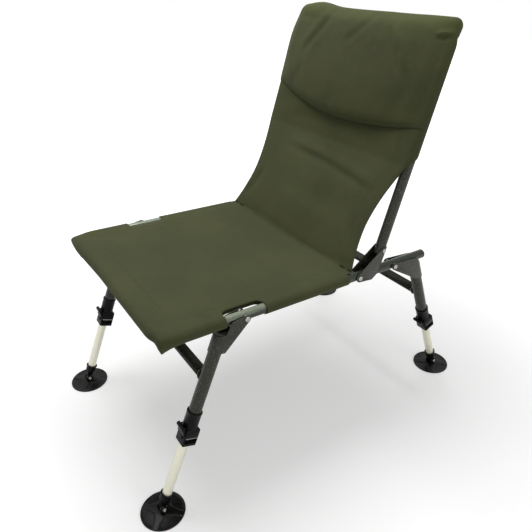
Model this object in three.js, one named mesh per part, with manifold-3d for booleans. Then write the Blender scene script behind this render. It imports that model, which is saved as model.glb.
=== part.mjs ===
// Folding low chair for the bank: a bent seat rail with a cloth seat, a reclined back frame that folds
// forward, and two pairs of fold-away legs whose inner tubes slide and lock. Millimetres, +Z up, the
// sitter faces -Y, and the origin is on the floor in the middle of the footprint.
import * as THREE from "three";
import { mergeVertices } from "three/addons/utils/BufferGeometryUtils.js";
import Module from "manifold-3d";

// Driving sizes of the whole chair
const railSpacing = 460;
const seatHeight = 398.6;
const seatTiltDegrees = 2.4;
const frontRailReach = 161.3;
const railCornerRadius = 42;
const frontLegReach = 38.1;
const frontFootSplay = 163.1;
const backPivotReach = 277;
const pivotSpacing = 101.6;
const rearLegSetback = 69;
const rearFootSplay = 147.7;
const railOverhang = 27.4;
const footPinHeight = 14;
const backHeight = 490;
const backAngleDegrees = 105.7;
const postSetback = 46;
const postTopTaper = 5;
const backCornerRadius = 38;

// Places along the rails that follow from the pivots, measured back from the front legs' pivot
const postReach = backPivotReach + postSetback;
const rearPivotReach = backPivotReach + pivotSpacing;
const rearLegReach = rearPivotReach + rearLegSetback;
const railRearReach = rearLegReach + railOverhang;
const frontFootReach = frontLegReach + frontFootSplay;
const rearFootReach = rearLegReach + rearFootSplay;

// Tubes
const railDiameter = 20;
const postDiameter = 22;
const legDiameter = 25;
const crossbarDiameter = 22;
const innerLegDiameter = 19.4;
const railWall = 1.5;
const postWall = 1.5;
const legWall = 2.3;
const innerLegWall = 1.5;
const crossbarWall = 1.5;

// Fits
const seatGap = 0.3;
const clothGap = 1;
const overrun = 30;
const roundSides = 14;
const smallSides = 8;
const holeSides = 8;
const tubeArcSteps = 7;
const bendSteps = 4;

// Legs, measured down the leg axis from the rail axis
const frontSleeveDrop = 189;
const rearSleeveDrop = 177;
const crossbarDrop = 116;
const legInsert = 110;

// Pressed leg brackets
const bracketSheet = 1.6;
const legBracketGap = 0.3;
const bracketEyeRadius = 8;
const frontBracket = {
  foot: 63,
  footRise: 6,
  webTop: 27,
  throatDrop: 20,
  throatReach: 5,
  tipReach: 5,
  crest: 2.5,
};
const rearBracket = {
  foot: 66,
  footRise: 12,
  webTop: 12,
  throatDrop: 3,
  throatReach: -2,
  tipReach: -4,
  crest: 3,
};

// Back bracket, measured up the post from the rail axis
const backBracketTop = 59;
const postFoot = 41.5;
const backEyeRadius = 9;
const backHeelReach = 4;
const backHeelRise = 1;
const backChinReach = 8;
const backChinDrop = 15;
const backNoseReach = 4;
const backEyeEndShare = 1.55;

// Rivets
const pivotShankRadius = 4;
const pivotHeadRadius = 7;
const pivotHeadHeight = 2.4;
const spacerRadius = 6.5;
const postRivetRadius = 2.5;
const postRivetHeadRadius = 4.6;
const postRivetHeadHeight = 1.8;
const postRivetHeight = 50.5;
const rivetCrownShare = 0.75;
const rivetBrimShare = 0.8;

// Leg lock: a moulded sleeve and box, a steel plate round the inner leg, its thumb lever and return spring
const sleeveWall = 2;
const sleeveRimWall = 2.6;
const sleeveRimHeight = 4;
const sleeveLength = 34.5;
const boxHeight = 38;
const boxHalfWidth = 15.5;
const boxFront = 13.2;
const boxRear = 17;
const boxChamfer = 3;
const boxCornerRadius = 2;
const windowHigh = 18.5;
const windowLow = 30;
const windowFront = 11.2;
const plateDrop = 18.8;
const plateThickness = 1.6;
const plateFront = 10.6;
const plateRear = 16;
const plateHalfWidth = 12.6;
const plateTongueReach = 12.6;
const plateTongueHalf = 5;
const plateTongueSlack = 0.9;
const plateHoleSlack = 1.1;
const leverPinReach = 11.8;
const leverPinDrop = 11;
const leverPinRadius = 1.4;
const leverPinEnd = 16.1;
const leverEarInside = 10.7;
const leverEarOutside = 12.6;
const leverEarRadius = 2.2;
const leverBackReach = 13.8;
const leverThickness = 2.2;
const leverFoot = 24;
const leverBend = 9;
const leverStemHalf = 7;
const leverStemTop = 14.5;
const lipHalfWidth = 12.4;
const lipReach = 9.6;
const lipRise = 1.5;
const lipThickness = 1.9;
const springWire = 1.2;
const springRadius = 2.1;
const springReach = 13;
const springTurns = 2.5;
const springSteps = 8;
const springSides = 5;

// Foot and its socket
const footRadius = 45;
const footRim = 3;
const socketRise = 35;
const socketDepth = 14;
const socketRimRadius = 13.4;
const socketRadius = 11.8;
const socketFlare = 7;
const socketFloor = 4;
const tongueThickness = 9;
const tongueRadius = 6.6;
const earThickness = 5.2;
const earRadius = 8;
const hubHeight = 6.6;
const footPinRadius = 2.6;
const footPinHeadRadius = 4.4;
const footPinHeadHeight = 1.6;

// Cloth and padding
const clothThickness = 1.4;
const tunnelFlap = 37;
const tunnelTurns = 6;
const tunnelEase = 0.4;
const flapDrop = 2.4;
const flapOverlap = 2;
const seatSag = 13;
const sagDepthShare = 0.6;
const sagRunShare = 0.34;
const clothColumns = 8;
const seatRows = 8;
const slingClearance = 15;
const tunnelClearance = 28;
const cutFront = 40;
const cutRear = 45;
const cutInset = 26;
const cutRound = 16;
const backBow = 10;
const sleeveFoot = 226;
const waistHalf = 208;
const waistHeight = 95;
const clothRootHalf = 231;
const padFoot = 300;
const padTopDrop = 14;
const padHalfWidth = 219;
const padThickness = 27;
const padSeamSag = 9;
const padPinchShare = 0.02;
const padCrownPower = 4;
const padColumns = 14;
const padRows = 8;
const backRows = 6;
const webRowCount = 5;

// Derived sizes
const railRadius = railDiameter / 2;
const postRadius = postDiameter / 2;
const legRadius = legDiameter / 2;
const innerRadius = innerLegDiameter / 2;
const halfRail = railSpacing / 2;
const radians = THREE.MathUtils.degToRad;
const tilt = radians(seatTiltDegrees);
const recline = radians(backAngleDegrees) - Math.PI / 2;
const clothCover = clothGap + clothThickness + tunnelEase;
const coveredRail = railRadius + clothCover;
const coveredPost = postRadius + clothCover;
const clothMiddle = clothGap + clothThickness / 2;
const clothFront = -(postRadius + clothMiddle);
const backPanelEdge = railSpacing / 2 - postTopTaper - tunnelFlap + flapOverlap;
const slingRearReach = backPivotReach - slingClearance;
const tunnelRearReach = backPivotReach - tunnelClearance;

const wasm = await Module();
wasm.setup();

// Solids: a closed three.js geometry becomes a solid, and solids join and cut each other
function toSolid(geometry) {
  const bare = geometry.clone();
  bare.deleteAttribute("normal");
  bare.deleteAttribute("uv");
  const merged = mergeVertices(bare);
  const mesh = new wasm.Mesh({
    numProp: 3,
    vertProperties: Float32Array.from(merged.attributes.position.array),
    triVerts: Uint32Array.from(merged.index.array),
  });
  return new wasm.Manifold(mesh);
}

function join(first, ...others) {
  return others.reduce((whole, other) => whole.add(other), first);
}

function cut(first, ...others) {
  return others.reduce((whole, other) => whole.subtract(other), first);
}

function toGeometry(solid) {
  const mesh = solid.getMesh();
  const geometry = new THREE.BufferGeometry();
  geometry.setAttribute("position", new THREE.BufferAttribute(Float32Array.from(mesh.vertProperties), 3));
  geometry.setIndex(new THREE.BufferAttribute(Uint32Array.from(mesh.triVerts), 1));
  geometry.computeVertexNormals();
  return geometry;
}

// A radius whose flat sides, not its corners, stand the gap away from a round piece
function boreRadius(radius, gap = seatGap, sides = roundSides) {
  return (radius + gap) / Math.cos(Math.PI / sides);
}

const pivotHole = boreRadius(pivotShankRadius, seatGap, holeSides);
const postHole = boreRadius(postRivetRadius, seatGap, holeSides);
const footPinHole = boreRadius(footPinRadius, seatGap, holeSides);

function rod(radius, low, high, sides = roundSides) {
  const geometry = new THREE.CylinderGeometry(radius, radius, high - low, sides);
  geometry.rotateX(Math.PI / 2);
  geometry.translate(0, 0, (low + high) / 2);
  return geometry;
}

function crossRod(radius, low, high, y, z, sides = roundSides) {
  const geometry = new THREE.CylinderGeometry(radius, radius, high - low, sides);
  geometry.rotateZ(Math.PI / 2);
  geometry.translate((low + high) / 2, y, z);
  return geometry;
}

// A profile of [radius, height] points turned about the vertical axis
function turned(profile, sides = roundSides) {
  const geometry = new THREE.LatheGeometry(profile.map(([r, z]) => new THREE.Vector2(r, z)), sides);
  geometry.rotateX(Math.PI / 2);
  return geometry;
}

// The same profile turned about an axis along X
function turnedAcross(profile, y, z, sides = roundSides) {
  const geometry = new THREE.LatheGeometry(profile.map(([r, x]) => new THREE.Vector2(r, x)), sides);
  geometry.rotateZ(-Math.PI / 2);
  geometry.translate(0, y, z);
  return geometry;
}

// An outline in the Y-Z plane, extruded along X from low to high
function sidePlate(shape, low, high) {
  const geometry = new THREE.ExtrudeGeometry(shape, {
    depth: high - low,
    bevelEnabled: false,
    curveSegments: 4,
  });
  geometry.applyMatrix4(new THREE.Matrix4().set(0, 0, 1, low, 1, 0, 0, 0, 0, 1, 0, 0, 0, 0, 0, 1));
  return geometry;
}

function block(xLow, xHigh, yLow, yHigh, zLow, zHigh) {
  const geometry = new THREE.BoxGeometry(xHigh - xLow, yHigh - yLow, zHigh - zLow);
  geometry.translate((xLow + xHigh) / 2, (yLow + yHigh) / 2, (zLow + zHigh) / 2);
  return geometry;
}

function outline(points) {
  return new THREE.Shape(points.map(([y, z]) => new THREE.Vector2(y, z)));
}

// Stations of a rod that is bent at the inner points of a polyline, each with its place and direction
function bentStations(corners, radius, steps) {
  const points = corners.map((corner) => new THREE.Vector3(...corner));
  const last = points.length - 1;
  const stations = [{ place: points[0], along: points[1].clone().sub(points[0]).normalize() }];
  for (let i = 1; i < last; i += 1) {
    const incoming = points[i].clone().sub(points[i - 1]).normalize();
    const outgoing = points[i + 1].clone().sub(points[i]).normalize();
    const turn = incoming.angleTo(outgoing);
    const setback = radius * Math.tan(turn / 2);
    const start = points[i].clone().addScaledVector(incoming, -setback);
    const towardCentre = outgoing.clone().addScaledVector(incoming, -Math.cos(turn)).normalize();
    for (let k = 0; k <= steps; k += 1) {
      const angle = (turn * k) / steps;
      const place = start.clone().addScaledVector(incoming, radius * Math.sin(angle));
      place.addScaledVector(towardCentre, radius * (1 - Math.cos(angle)));
      const along = incoming.clone().multiplyScalar(Math.cos(angle));
      along.addScaledVector(towardCentre, Math.sin(angle));
      stations.push({ place, along });
    }
  }
  stations.push({ place: points[last], along: points[last].clone().sub(points[last - 1]).normalize() });
  return stations;
}

// A curve whose steps fall on the stations, so straight stretches take one step and bends take several
class BentRod extends THREE.Curve {
  constructor(stations) {
    super();
    this.stations = stations;
  }
  at(t) {
    const scaled = t * (this.stations.length - 1);
    const index = Math.min(Math.floor(scaled), this.stations.length - 2);
    return { from: this.stations[index], to: this.stations[index + 1], share: scaled - index };
  }
  getPoint(t) {
    const { from, to, share } = this.at(t);
    return from.place.clone().lerp(to.place, share);
  }
  getPointAt(t) {
    return this.getPoint(t);
  }
  getTangentAt(t) {
    const { from, to, share } = this.at(t);
    return from.along.clone().lerp(to.along, share).normalize();
  }
}

function bentTube(stations, radius, wall) {
  const ring = new THREE.Shape().absarc(0, 0, radius, 0, Math.PI * 2);
  ring.holes.push(new THREE.Path().absarc(0, 0, radius - wall, 0, Math.PI * 2, true));
  return new THREE.ExtrudeGeometry(ring, {
    steps: stations.length - 1,
    curveSegments: tubeArcSteps,
    extrudePath: new BentRod(stations),
  });
}

function straightTube(radius, wall, low, high, sides = roundSides) {
  return turned(
    [
      [radius, low],
      [radius, high],
      [radius - wall, high],
      [radius - wall, low],
      [radius, low],
    ],
    sides,
  );
}

// Cloth: a grid of points on its middle surface becomes a closed sheet of the cloth's thickness
function clothSheet(rows, thickness) {
  const rowCount = rows.length;
  const columnCount = rows[0].length;
  const positions = [];
  const faces = [];
  for (const side of [1, -1]) {
    for (let i = 0; i < rowCount; i += 1) {
      for (let j = 0; j < columnCount; j += 1) {
        const here = rows[i][j];
        const down = rows[Math.min(i + 1, rowCount - 1)][j].clone().sub(rows[Math.max(i - 1, 0)][j]);
        const before = rows[i][Math.max(j - 1, 0)];
        const across = rows[i][Math.min(j + 1, columnCount - 1)].clone().sub(before);
        const normal = across.cross(down).normalize();
        positions.push(...here.clone().addScaledVector(normal, (side * thickness) / 2).toArray());
      }
    }
  }
  const sheet = rowCount * columnCount;
  const top = (i, j) => i * columnCount + j;
  const under = (i, j) => sheet + top(i, j);
  const quad = (a, b, c, d) => faces.push(a, b, c, a, c, d);
  for (let i = 0; i < rowCount - 1; i += 1) {
    for (let j = 0; j < columnCount - 1; j += 1) {
      quad(top(i, j), top(i, j + 1), top(i + 1, j + 1), top(i + 1, j));
      quad(under(i, j), under(i + 1, j), under(i + 1, j + 1), under(i, j + 1));
    }
  }
  const lastRow = rowCount - 1;
  const lastColumn = columnCount - 1;
  for (let j = 0; j < lastColumn; j += 1) {
    quad(top(0, j + 1), top(0, j), under(0, j), under(0, j + 1));
    quad(top(lastRow, j), top(lastRow, j + 1), under(lastRow, j + 1), under(lastRow, j));
  }
  for (let i = 0; i < lastRow; i += 1) {
    quad(top(i, 0), top(i + 1, 0), under(i + 1, 0), under(i, 0));
    quad(top(i + 1, lastColumn), top(i, lastColumn), under(i, lastColumn), under(i + 1, lastColumn));
  }
  const geometry = new THREE.BufferGeometry();
  geometry.setAttribute("position", new THREE.Float32BufferAttribute(positions, 3));
  geometry.setIndex(faces);
  return geometry;
}

// A sewn tunnel round a rail: the cloth comes from its seam, goes round the rail and on to the panel
function tunnelProfile(tubeRadius) {
  const middle = tubeRadius + clothMiddle;
  const seam = [-tunnelFlap, middle - flapDrop - clothThickness - clothGap];
  const seamDistance = Math.hypot(...seam);
  const seamAngle = Math.atan2(seam[1], seam[0]);
  const touch = seamAngle + Math.acos(middle / seamDistance) - Math.PI * 2;
  const profile = [seam];
  for (let k = 0; k <= tunnelTurns; k += 1) {
    const angle = touch + ((Math.PI / 2 - touch) * k) / tunnelTurns;
    const out = k === 0 || k === tunnelTurns ? middle : middle + tunnelEase;
    profile.push([out * Math.cos(angle), out * Math.sin(angle)]);
  }
  profile.push([-tunnelFlap / 2, middle - flapDrop / 2]);
  profile.push([-tunnelFlap, middle - flapDrop]);
  return profile;
}

// The tunnel's profile swept along the stations; face is the direction of the cloth's front
function tunnel(stations, tubeRadius, face) {
  const profile = tunnelProfile(tubeRadius);
  const rows = stations.map(({ place, along }) => {
    const outward = new THREE.Vector3().crossVectors(along, face).normalize();
    return profile.map(([out, up]) => place.clone().addScaledVector(outward, out).addScaledVector(face, up));
  });
  return clothSheet(rows, clothThickness);
}

function evenShares(count) {
  return Array.from({ length: count + 1 }, (_, k) => k / count);
}

const materials = {
  hammertone: { color: 0x3c3d3a, roughness: 0.45, metalness: 0.6 },
  railPaint: { color: 0x474a43, roughness: 0.35, metalness: 0.7 },
  aluminium: { color: 0xd4d2c0, roughness: 0.4, metalness: 0.5 },
  steel: { color: 0xb9bbb6, roughness: 0.3, metalness: 0.9 },
  blackPlastic: { color: 0x161716, roughness: 0.55, metalness: 0 },
  footRubber: { color: 0x141a16, roughness: 0.35, metalness: 0 },
  cloth: { color: 0x494d33, roughness: 0.95, metalness: 0 },
};

const chair = new THREE.Group();
chair.position.y = -(rearFootReach - frontFootReach) / 2;

// The rail frame has its origin on the rail axis at the front leg pivot, +Y back along the rails
const railFrame = new THREE.Group();
railFrame.position.z = seatHeight;
railFrame.rotation.x = -tilt;
chair.add(railFrame);

function piece(parent, name, material, geometry) {
  const mesh = new THREE.Mesh(geometry, new THREE.MeshStandardMaterial(materials[material]));
  mesh.name = name;
  parent.add(mesh);
  return mesh;
}

const sides = [
  ["left", -1],
  ["right", 1],
];

// Seat frame: one tube bent twice, drilled for the six pivots and plugged at its open ends
function seatRailStations(rear) {
  return bentStations(
    [
      [-halfRail, rear, 0],
      [-halfRail, -frontRailReach, 0],
      [halfRail, -frontRailReach, 0],
      [halfRail, rear, 0],
    ],
    railCornerRadius,
    bendSteps,
  );
}

function seatRail() {
  const tube = toSolid(bentTube(seatRailStations(railRearReach), railRadius, railWall));
  const holes = [0, backPivotReach, rearPivotReach].map((reach) =>
    toSolid(crossRod(pivotHole, -halfRail - overrun, halfRail + overrun, reach, 0, holeSides)),
  );
  return toGeometry(cut(tube, ...holes));
}

function endPlug(boreSize, rimSize, stem, rim, crown) {
  return turned(
    [
      [0, -stem],
      [boreSize - seatGap, -stem],
      [boreSize - seatGap, seatGap],
      [rimSize, seatGap],
      [rimSize, rim],
      [rimSize / 2, crown],
      [0, crown],
    ],
    smallSides,
  );
}

piece(railFrame, "seat_rail", "railPaint", seatRail());
const capStem = 12;
const capRim = 2.2;
const capCrown = 3.4;
for (const [side, sign] of sides) {
  const cap = endPlug(railRadius - railWall, railRadius, capStem, capRim, capCrown);
  cap.rotateX(-Math.PI / 2);
  piece(railFrame, `rail_cap_${side}`, "blackPlastic", cap).position.set(sign * halfRail, railRearReach, 0);
}

// Pivot rivets run through the rail and both bracket flanges, with a shoulder between rail and flange
function pivotRivet(flangeInside) {
  const flangeOutside = flangeInside + bracketSheet;
  const half = [
    [spacerRadius, flangeInside - seatGap],
    [pivotShankRadius, flangeInside - seatGap],
    [pivotShankRadius, flangeOutside + seatGap],
    [pivotHeadRadius, flangeOutside + seatGap],
    [pivotHeadRadius * rivetCrownShare, flangeOutside + pivotHeadHeight * rivetBrimShare],
    [0, flangeOutside + pivotHeadHeight],
  ];
  const shoulder = [
    [pivotShankRadius, railRadius + seatGap],
    [spacerRadius, railRadius + seatGap],
  ];
  const right = [...shoulder, ...half];
  const left = right.map(([r, x]) => [r, -x]).reverse();
  return turnedAcross([...left, ...right], 0, 0, smallSides);
}

// The pressed channels stand round the leg or post by the same gap on every side
const legChannel = legRadius + legBracketGap;
const backChannel = postRadius + legBracketGap;
const pivots = [
  ["front_pivot_rivet", 0, legChannel],
  ["back_pivot_rivet", backPivotReach, backChannel],
  ["rear_pivot_rivet", rearPivotReach, legChannel],
];
for (const [name, reach, channel] of pivots) {
  for (const [side, sign] of sides) {
    piece(railFrame, `${name}_${side}`, "steel", pivotRivet(channel)).position.set(sign * halfRail, reach, 0);
  }
}

// Seat cloth: a tunnel round the rail's sides, corners and front, and a panel that sags between them
function panelSag(across, down) {
  return (1 - across * across) * Math.sin((Math.PI / 2) * Math.min(1, down / sagDepthShare));
}

function seatSling() {
  const up = new THREE.Vector3(0, 0, 1);
  const edge = halfRail - tunnelFlap + flapOverlap;
  const front = -frontRailReach + tunnelFlap - flapOverlap;
  const height = railRadius + clothMiddle - flapDrop;
  const rows = evenShares(seatRows).map((down) =>
    evenShares(clothColumns).map((k) => {
      const across = 2 * k - 1;
      const y = front + (slingRearReach - front) * down;
      return new THREE.Vector3(across * edge, y, height - seatSag * panelSag(across, down));
    }),
  );
  const around = toSolid(tunnel(seatRailStations(tunnelRearReach), railRadius, up));
  const panel = toSolid(clothSheet(rows, clothThickness));
  const cutShape = new THREE.Shape();
  const low = -cutFront;
  const inner = halfRail - cutInset;
  const outer = halfRail + overrun;
  cutShape.moveTo(outer, low).lineTo(inner + cutRound, low);
  cutShape.quadraticCurveTo(inner, low, inner, low + cutRound).lineTo(inner, cutRear - cutRound);
  cutShape.quadraticCurveTo(inner, cutRear, inner + cutRound, cutRear).lineTo(outer, cutRear);
  const plan = new THREE.ExtrudeGeometry(cutShape, {
    depth: 2 * overrun,
    bevelEnabled: false,
    curveSegments: 3,
  });
  plan.translate(0, 0, -overrun);
  const other = plan.clone().rotateZ(Math.PI).translate(0, cutRear - cutFront, 0);
  return toGeometry(cut(join(around, panel), toSolid(plan), toSolid(other)));
}

piece(railFrame, "seat_sling", "cloth", seatSling());

// Back: its own frame has the origin where the post axis meets the rail axis, +Z up along the post
const backFrame = new THREE.Group();
backFrame.position.y = postReach;
backFrame.rotation.x = -recline;
railFrame.add(backFrame);
const pivotBack = (backPivotReach - postReach) * Math.cos(recline);
const pivotDown = (backPivotReach - postReach) * Math.sin(recline);

function backStations(low) {
  const lean = postTopTaper / (backHeight - postFoot);
  const lowHalf = halfRail - lean * (low - postFoot);
  const topHalf = halfRail - postTopTaper;
  return bentStations(
    [
      [-lowHalf, 0, low],
      [-topHalf, 0, backHeight],
      [topHalf, 0, backHeight],
      [lowHalf, 0, low],
    ],
    backCornerRadius,
    bendSteps,
  );
}

function backTube() {
  const reach = halfRail + overrun;
  const hole = crossRod(postHole, -reach, reach, 0, postRivetHeight, holeSides);
  return toGeometry(cut(toSolid(bentTube(backStations(postFoot), postRadius, postWall)), toSolid(hole)));
}

piece(backFrame, "back_frame", "hammertone", backTube());

// A U-channel's plan: round at its web, with straight flanges running the other way
function channelPlan(radius, flangeSign, low, high) {
  const plan = new THREE.Shape();
  plan.absarc(0, 0, radius, 0, Math.PI, flangeSign > 0);
  plan.lineTo(-radius, flangeSign * 4 * overrun).lineTo(radius, flangeSign * 4 * overrun);
  const geometry = new THREE.ExtrudeGeometry(plan, {
    depth: high - low,
    bevelEnabled: false,
    curveSegments: 5,
  });
  geometry.translate(0, 0, low);
  return geometry;
}

// A pressed bracket: the side outline, narrowed to the channel outside and hollowed by the channel inside
function channelBracket(shape, channel, flangeSign, eyeY, eyeZ, extraHoles) {
  const reach = 6 * overrun;
  const body = toSolid(sidePlate(shape, -channel - 2 * bracketSheet, channel + 2 * bracketSheet));
  const outside = toSolid(channelPlan(channel + bracketSheet, flangeSign, -reach, reach));
  const inside = toSolid(channelPlan(channel, flangeSign, -reach, reach));
  const eye = toSolid(crossRod(pivotHole, -reach, reach, eyeY, eyeZ, holeSides));
  return cut(body.intersect(outside), inside, eye, ...extraHoles.map(toSolid));
}

function backBracket() {
  const web = backChannel + bracketSheet;
  const lean = (backBracketTop - backNoseReach - pivotDown) / (-pivotBack - backNoseReach);
  const railTop = (y) => (railRadius + seatGap) / Math.cos(recline) + y * Math.tan(recline);
  const edgeAngle = Math.atan(lean) + Math.PI / 2;
  const shape = new THREE.Shape();
  shape.moveTo(web, backBracketTop);
  shape.lineTo(-backNoseReach, backBracketTop - backNoseReach / 2);
  shape.lineTo(
    pivotBack + backEyeRadius * Math.cos(edgeAngle),
    pivotDown + backEyeRadius * Math.sin(edgeAngle),
  );
  shape.absarc(pivotBack, pivotDown, backEyeRadius, edgeAngle, Math.PI * backEyeEndShare, false);
  shape.lineTo(-backChinReach, -backChinDrop);
  shape.lineTo(backHeelReach, backHeelRise);
  shape.lineTo(web, railTop(web));
  const railPath = sidePlate(
    outline([
      [-4 * overrun, railTop(-4 * overrun)],
      [-4 * overrun, -4 * overrun],
      [4 * overrun, -4 * overrun],
      [4 * overrun, railTop(4 * overrun)],
    ]),
    -backChannel,
    backChannel,
  );
  const rivetHole = crossRod(postHole, -overrun, overrun, 0, postRivetHeight, holeSides);
  return toGeometry(channelBracket(shape, backChannel, -1, pivotBack, pivotDown, [railPath, rivetHole]));
}

function postRivet() {
  const outside = backChannel + bracketSheet + seatGap;
  const half = [
    [postRivetRadius, outside],
    [postRivetHeadRadius, outside],
    [postRivetHeadRadius * rivetCrownShare, outside + postRivetHeadHeight * rivetBrimShare],
    [0, outside + postRivetHeadHeight],
  ];
  const left = half.map(([r, x]) => [r, -x]).reverse();
  return turnedAcross([...left, ...half], 0, postRivetHeight, smallSides);
}

for (const [side, sign] of sides) {
  piece(backFrame, `back_bracket_${side}`, "hammertone", backBracket()).position.x = sign * halfRail;
  piece(backFrame, `post_rivet_${side}`, "steel", postRivet()).position.x = sign * halfRail;
}

// Back cloth: it leaves the seat's rear edge as a free web with a waist, then runs up round the posts
const webRoot = (() => {
  const y = slingRearReach + clothThickness / 2 + seatGap - postReach;
  const z = railRadius + clothMiddle;
  return {
    y: y * Math.cos(recline) - z * Math.sin(recline),
    z: y * Math.sin(recline) + z * Math.cos(recline),
  };
})();

function webHalfWidth(height) {
  const span = height > waistHeight ? sleeveFoot - waistHeight : waistHeight - webRoot.z;
  const widest = height > waistHeight ? halfRail + coveredPost / 2 : clothRootHalf;
  return waistHalf + (widest - waistHalf) * ((height - waistHeight) / span) ** 2;
}

function webRows(low, high, count) {
  return evenShares(count).map((k) => {
    const height = low + (high - low) * k;
    const up = (height - webRoot.z) / (sleeveFoot - webRoot.z);
    const y = webRoot.y + (clothFront - webRoot.y) * up;
    const half = webHalfWidth(height);
    return evenShares(clothColumns).map((share) => {
      const across = 2 * share - 1;
      const drop = seatSag * (1 - across * across) * Math.max(0, 1 - up / sagRunShare);
      const behind = Math.max(0, 1 - ((across * half) / backPanelEdge) ** 2);
      const bow = up * (backBow * behind + (behind > 0 ? flapDrop : 0));
      const back = y + bow + drop * Math.sin(recline);
      return new THREE.Vector3(across * half, back, height - drop * Math.cos(recline));
    });
  });
}

function backSling() {
  const face = new THREE.Vector3(0, -1, 0);
  const top = backHeight - tunnelFlap + flapOverlap;
  const front = clothFront + flapDrop;
  const panelRows = evenShares(backRows).map((k) =>
    evenShares(clothColumns).map((share) => {
      const across = 2 * share - 1;
      const height = sleeveFoot - flapOverlap + (top - sleeveFoot + flapOverlap) * k;
      const bow = backBow * (1 - across * across) * Math.cos((Math.PI / 2) * k);
      return new THREE.Vector3(across * backPanelEdge, front + bow, height);
    }),
  );
  const free = webRows(waistHeight + seatGap, sleeveFoot + flapOverlap, webRowCount);
  const web = toSolid(clothSheet(free, clothThickness));
  const around = toSolid(tunnel(backStations(sleeveFoot).reverse().map(turnRound), postRadius, face));
  const panel = toSolid(clothSheet(panelRows, clothThickness));
  return toGeometry(join(around, panel, web));
}

function turnRound({ place, along }) {
  return { place, along: along.clone().negate() };
}

piece(backFrame, "back_sling", "cloth", backSling());
const joinRows = webRows(webRoot.z, waistHeight, webRowCount);
piece(backFrame, "sling_junction", "cloth", clothSheet(joinRows, clothThickness));

// Head pad: a crowned cushion in front of the back cloth, its lower seam hanging a little in the middle
function headPad() {
  const backPlane = -(coveredPost + seatGap);
  const top = backHeight - padTopDrop;
  const columns = evenShares(padColumns);
  const rows = evenShares(padRows);
  const point = (down, share, front) => {
    const across = 2 * share - 1;
    const up = 2 * down - 1;
    const foot = padFoot - padSeamSag * (1 - across * across);
    const drawnIn = 1 - padPinchShare * (1 - up * up);
    const crown = Math.sqrt((1 - across ** padCrownPower) * (1 - up ** padCrownPower));
    const out = front ? padThickness * crown : 0;
    return [across * padHalfWidth * drawnIn, backPlane - out, foot + (top - foot) * down];
  };
  const positions = [];
  const faces = [];
  for (const front of [true, false]) {
    for (const down of rows) {
      for (const share of columns) positions.push(...point(down, share, front));
    }
  }
  const wide = columns.length;
  const layer = rows.length * wide;
  for (let i = 0; i < rows.length - 1; i += 1) {
    for (let j = 0; j < wide - 1; j += 1) {
      const a = i * wide + j;
      const quads = [
        [a, a + 1, a + 1 + wide, a + wide],
        [layer + a, layer + a + wide, layer + a + 1 + wide, layer + a + 1],
      ];
      for (const [p, q, r, s] of quads) faces.push(p, q, r, p, r, s);
    }
  }
  const geometry = new THREE.BufferGeometry();
  geometry.setAttribute("position", new THREE.Float32BufferAttribute(positions, 3));
  geometry.setIndex(faces);
  return toGeometry(toSolid(geometry));
}

piece(backFrame, "head_pad", "cloth", headPad());

// Legs: each pair has a frame with the origin where the leg axis meets the rail axis, +Z up the leg
const legPairs = [
  {
    name: "front",
    topReach: -frontLegReach,
    pivotReach: 0,
    footY: -frontFootReach,
    sleeveDrop: frontSleeveDrop,
    bracket: frontBracket,
  },
  {
    name: "rear",
    topReach: rearLegReach,
    pivotReach: rearPivotReach,
    footY: rearFootReach,
    sleeveDrop: rearSleeveDrop,
    bracket: rearBracket,
  },
];

function legPlaces(pair) {
  const topY = pair.topReach * Math.cos(tilt);
  const topZ = seatHeight - pair.topReach * Math.sin(tilt);
  const lean = Math.atan2(topY - pair.footY, topZ - footPinHeight);
  const length = Math.hypot(topY - pair.footY, topZ - footPinHeight);
  const railLean = lean - tilt;
  const reach = pair.pivotReach - pair.topReach;
  const pivotY = reach * Math.cos(railLean);
  const pivotZ = reach * Math.sin(railLean);
  const boxTop = -(pair.sleeveDrop + sleeveLength);
  return { topY, topZ, lean, length, railLean, pivotY, pivotZ, boxTop, boxFoot: boxTop - boxHeight };
}

// The leg tubes end below the rail by the plug's rim, and the plug's crown stops against the covered rail
const plugStem = 12;
const plugRim = 2;
function tubeTop(place) {
  const under = (coveredRail + seatGap) / Math.cos(place.railLean);
  return -(under + legRadius * Math.abs(Math.tan(place.railLean)) + plugRim);
}

function legFrame(pair, place) {
  const top = tubeTop(place);
  const foot = place.boxTop + seatGap;
  const tubes = sides.map(([, sign]) => {
    const outer = rod(legRadius, foot, top);
    const bore = rod(legRadius - legWall, foot - overrun, top + overrun);
    outer.translate(sign * halfRail, 0, 0);
    bore.translate(sign * halfRail, 0, 0);
    return { outer: toSolid(outer), bore: toSolid(bore) };
  });
  const barRadius = crossbarDiameter / 2;
  const bar = toSolid(crossRod(barRadius, -halfRail, halfRail, 0, -crossbarDrop));
  const hollowEnd = halfRail - legRadius;
  const barBore = toSolid(crossRod(barRadius - crossbarWall, -hollowEnd, hollowEnd, 0, -crossbarDrop));
  const vent = toSolid(crossRod(crossbarWall, -halfRail, halfRail, 0, -crossbarDrop, 6));
  const whole = join(cut(bar, barBore), ...tubes.map(({ outer }) => outer));
  return toGeometry(cut(whole, ...tubes.map(({ bore }) => bore), vent));
}

// A slab along the rail, from its underside less a gap upward, in the leg's own directions
function railSlab(place, half, clearance) {
  const slope = Math.tan(place.railLean);
  const drop = clearance / Math.cos(place.railLean);
  const reach = 3 * overrun;
  const corners = [
    [-reach, -reach * slope - drop],
    [reach, reach * slope - drop],
    [reach, reach * slope + reach],
    [-reach, -reach * slope + reach],
  ];
  return toSolid(sidePlate(outline(corners), -half, half));
}

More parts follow.
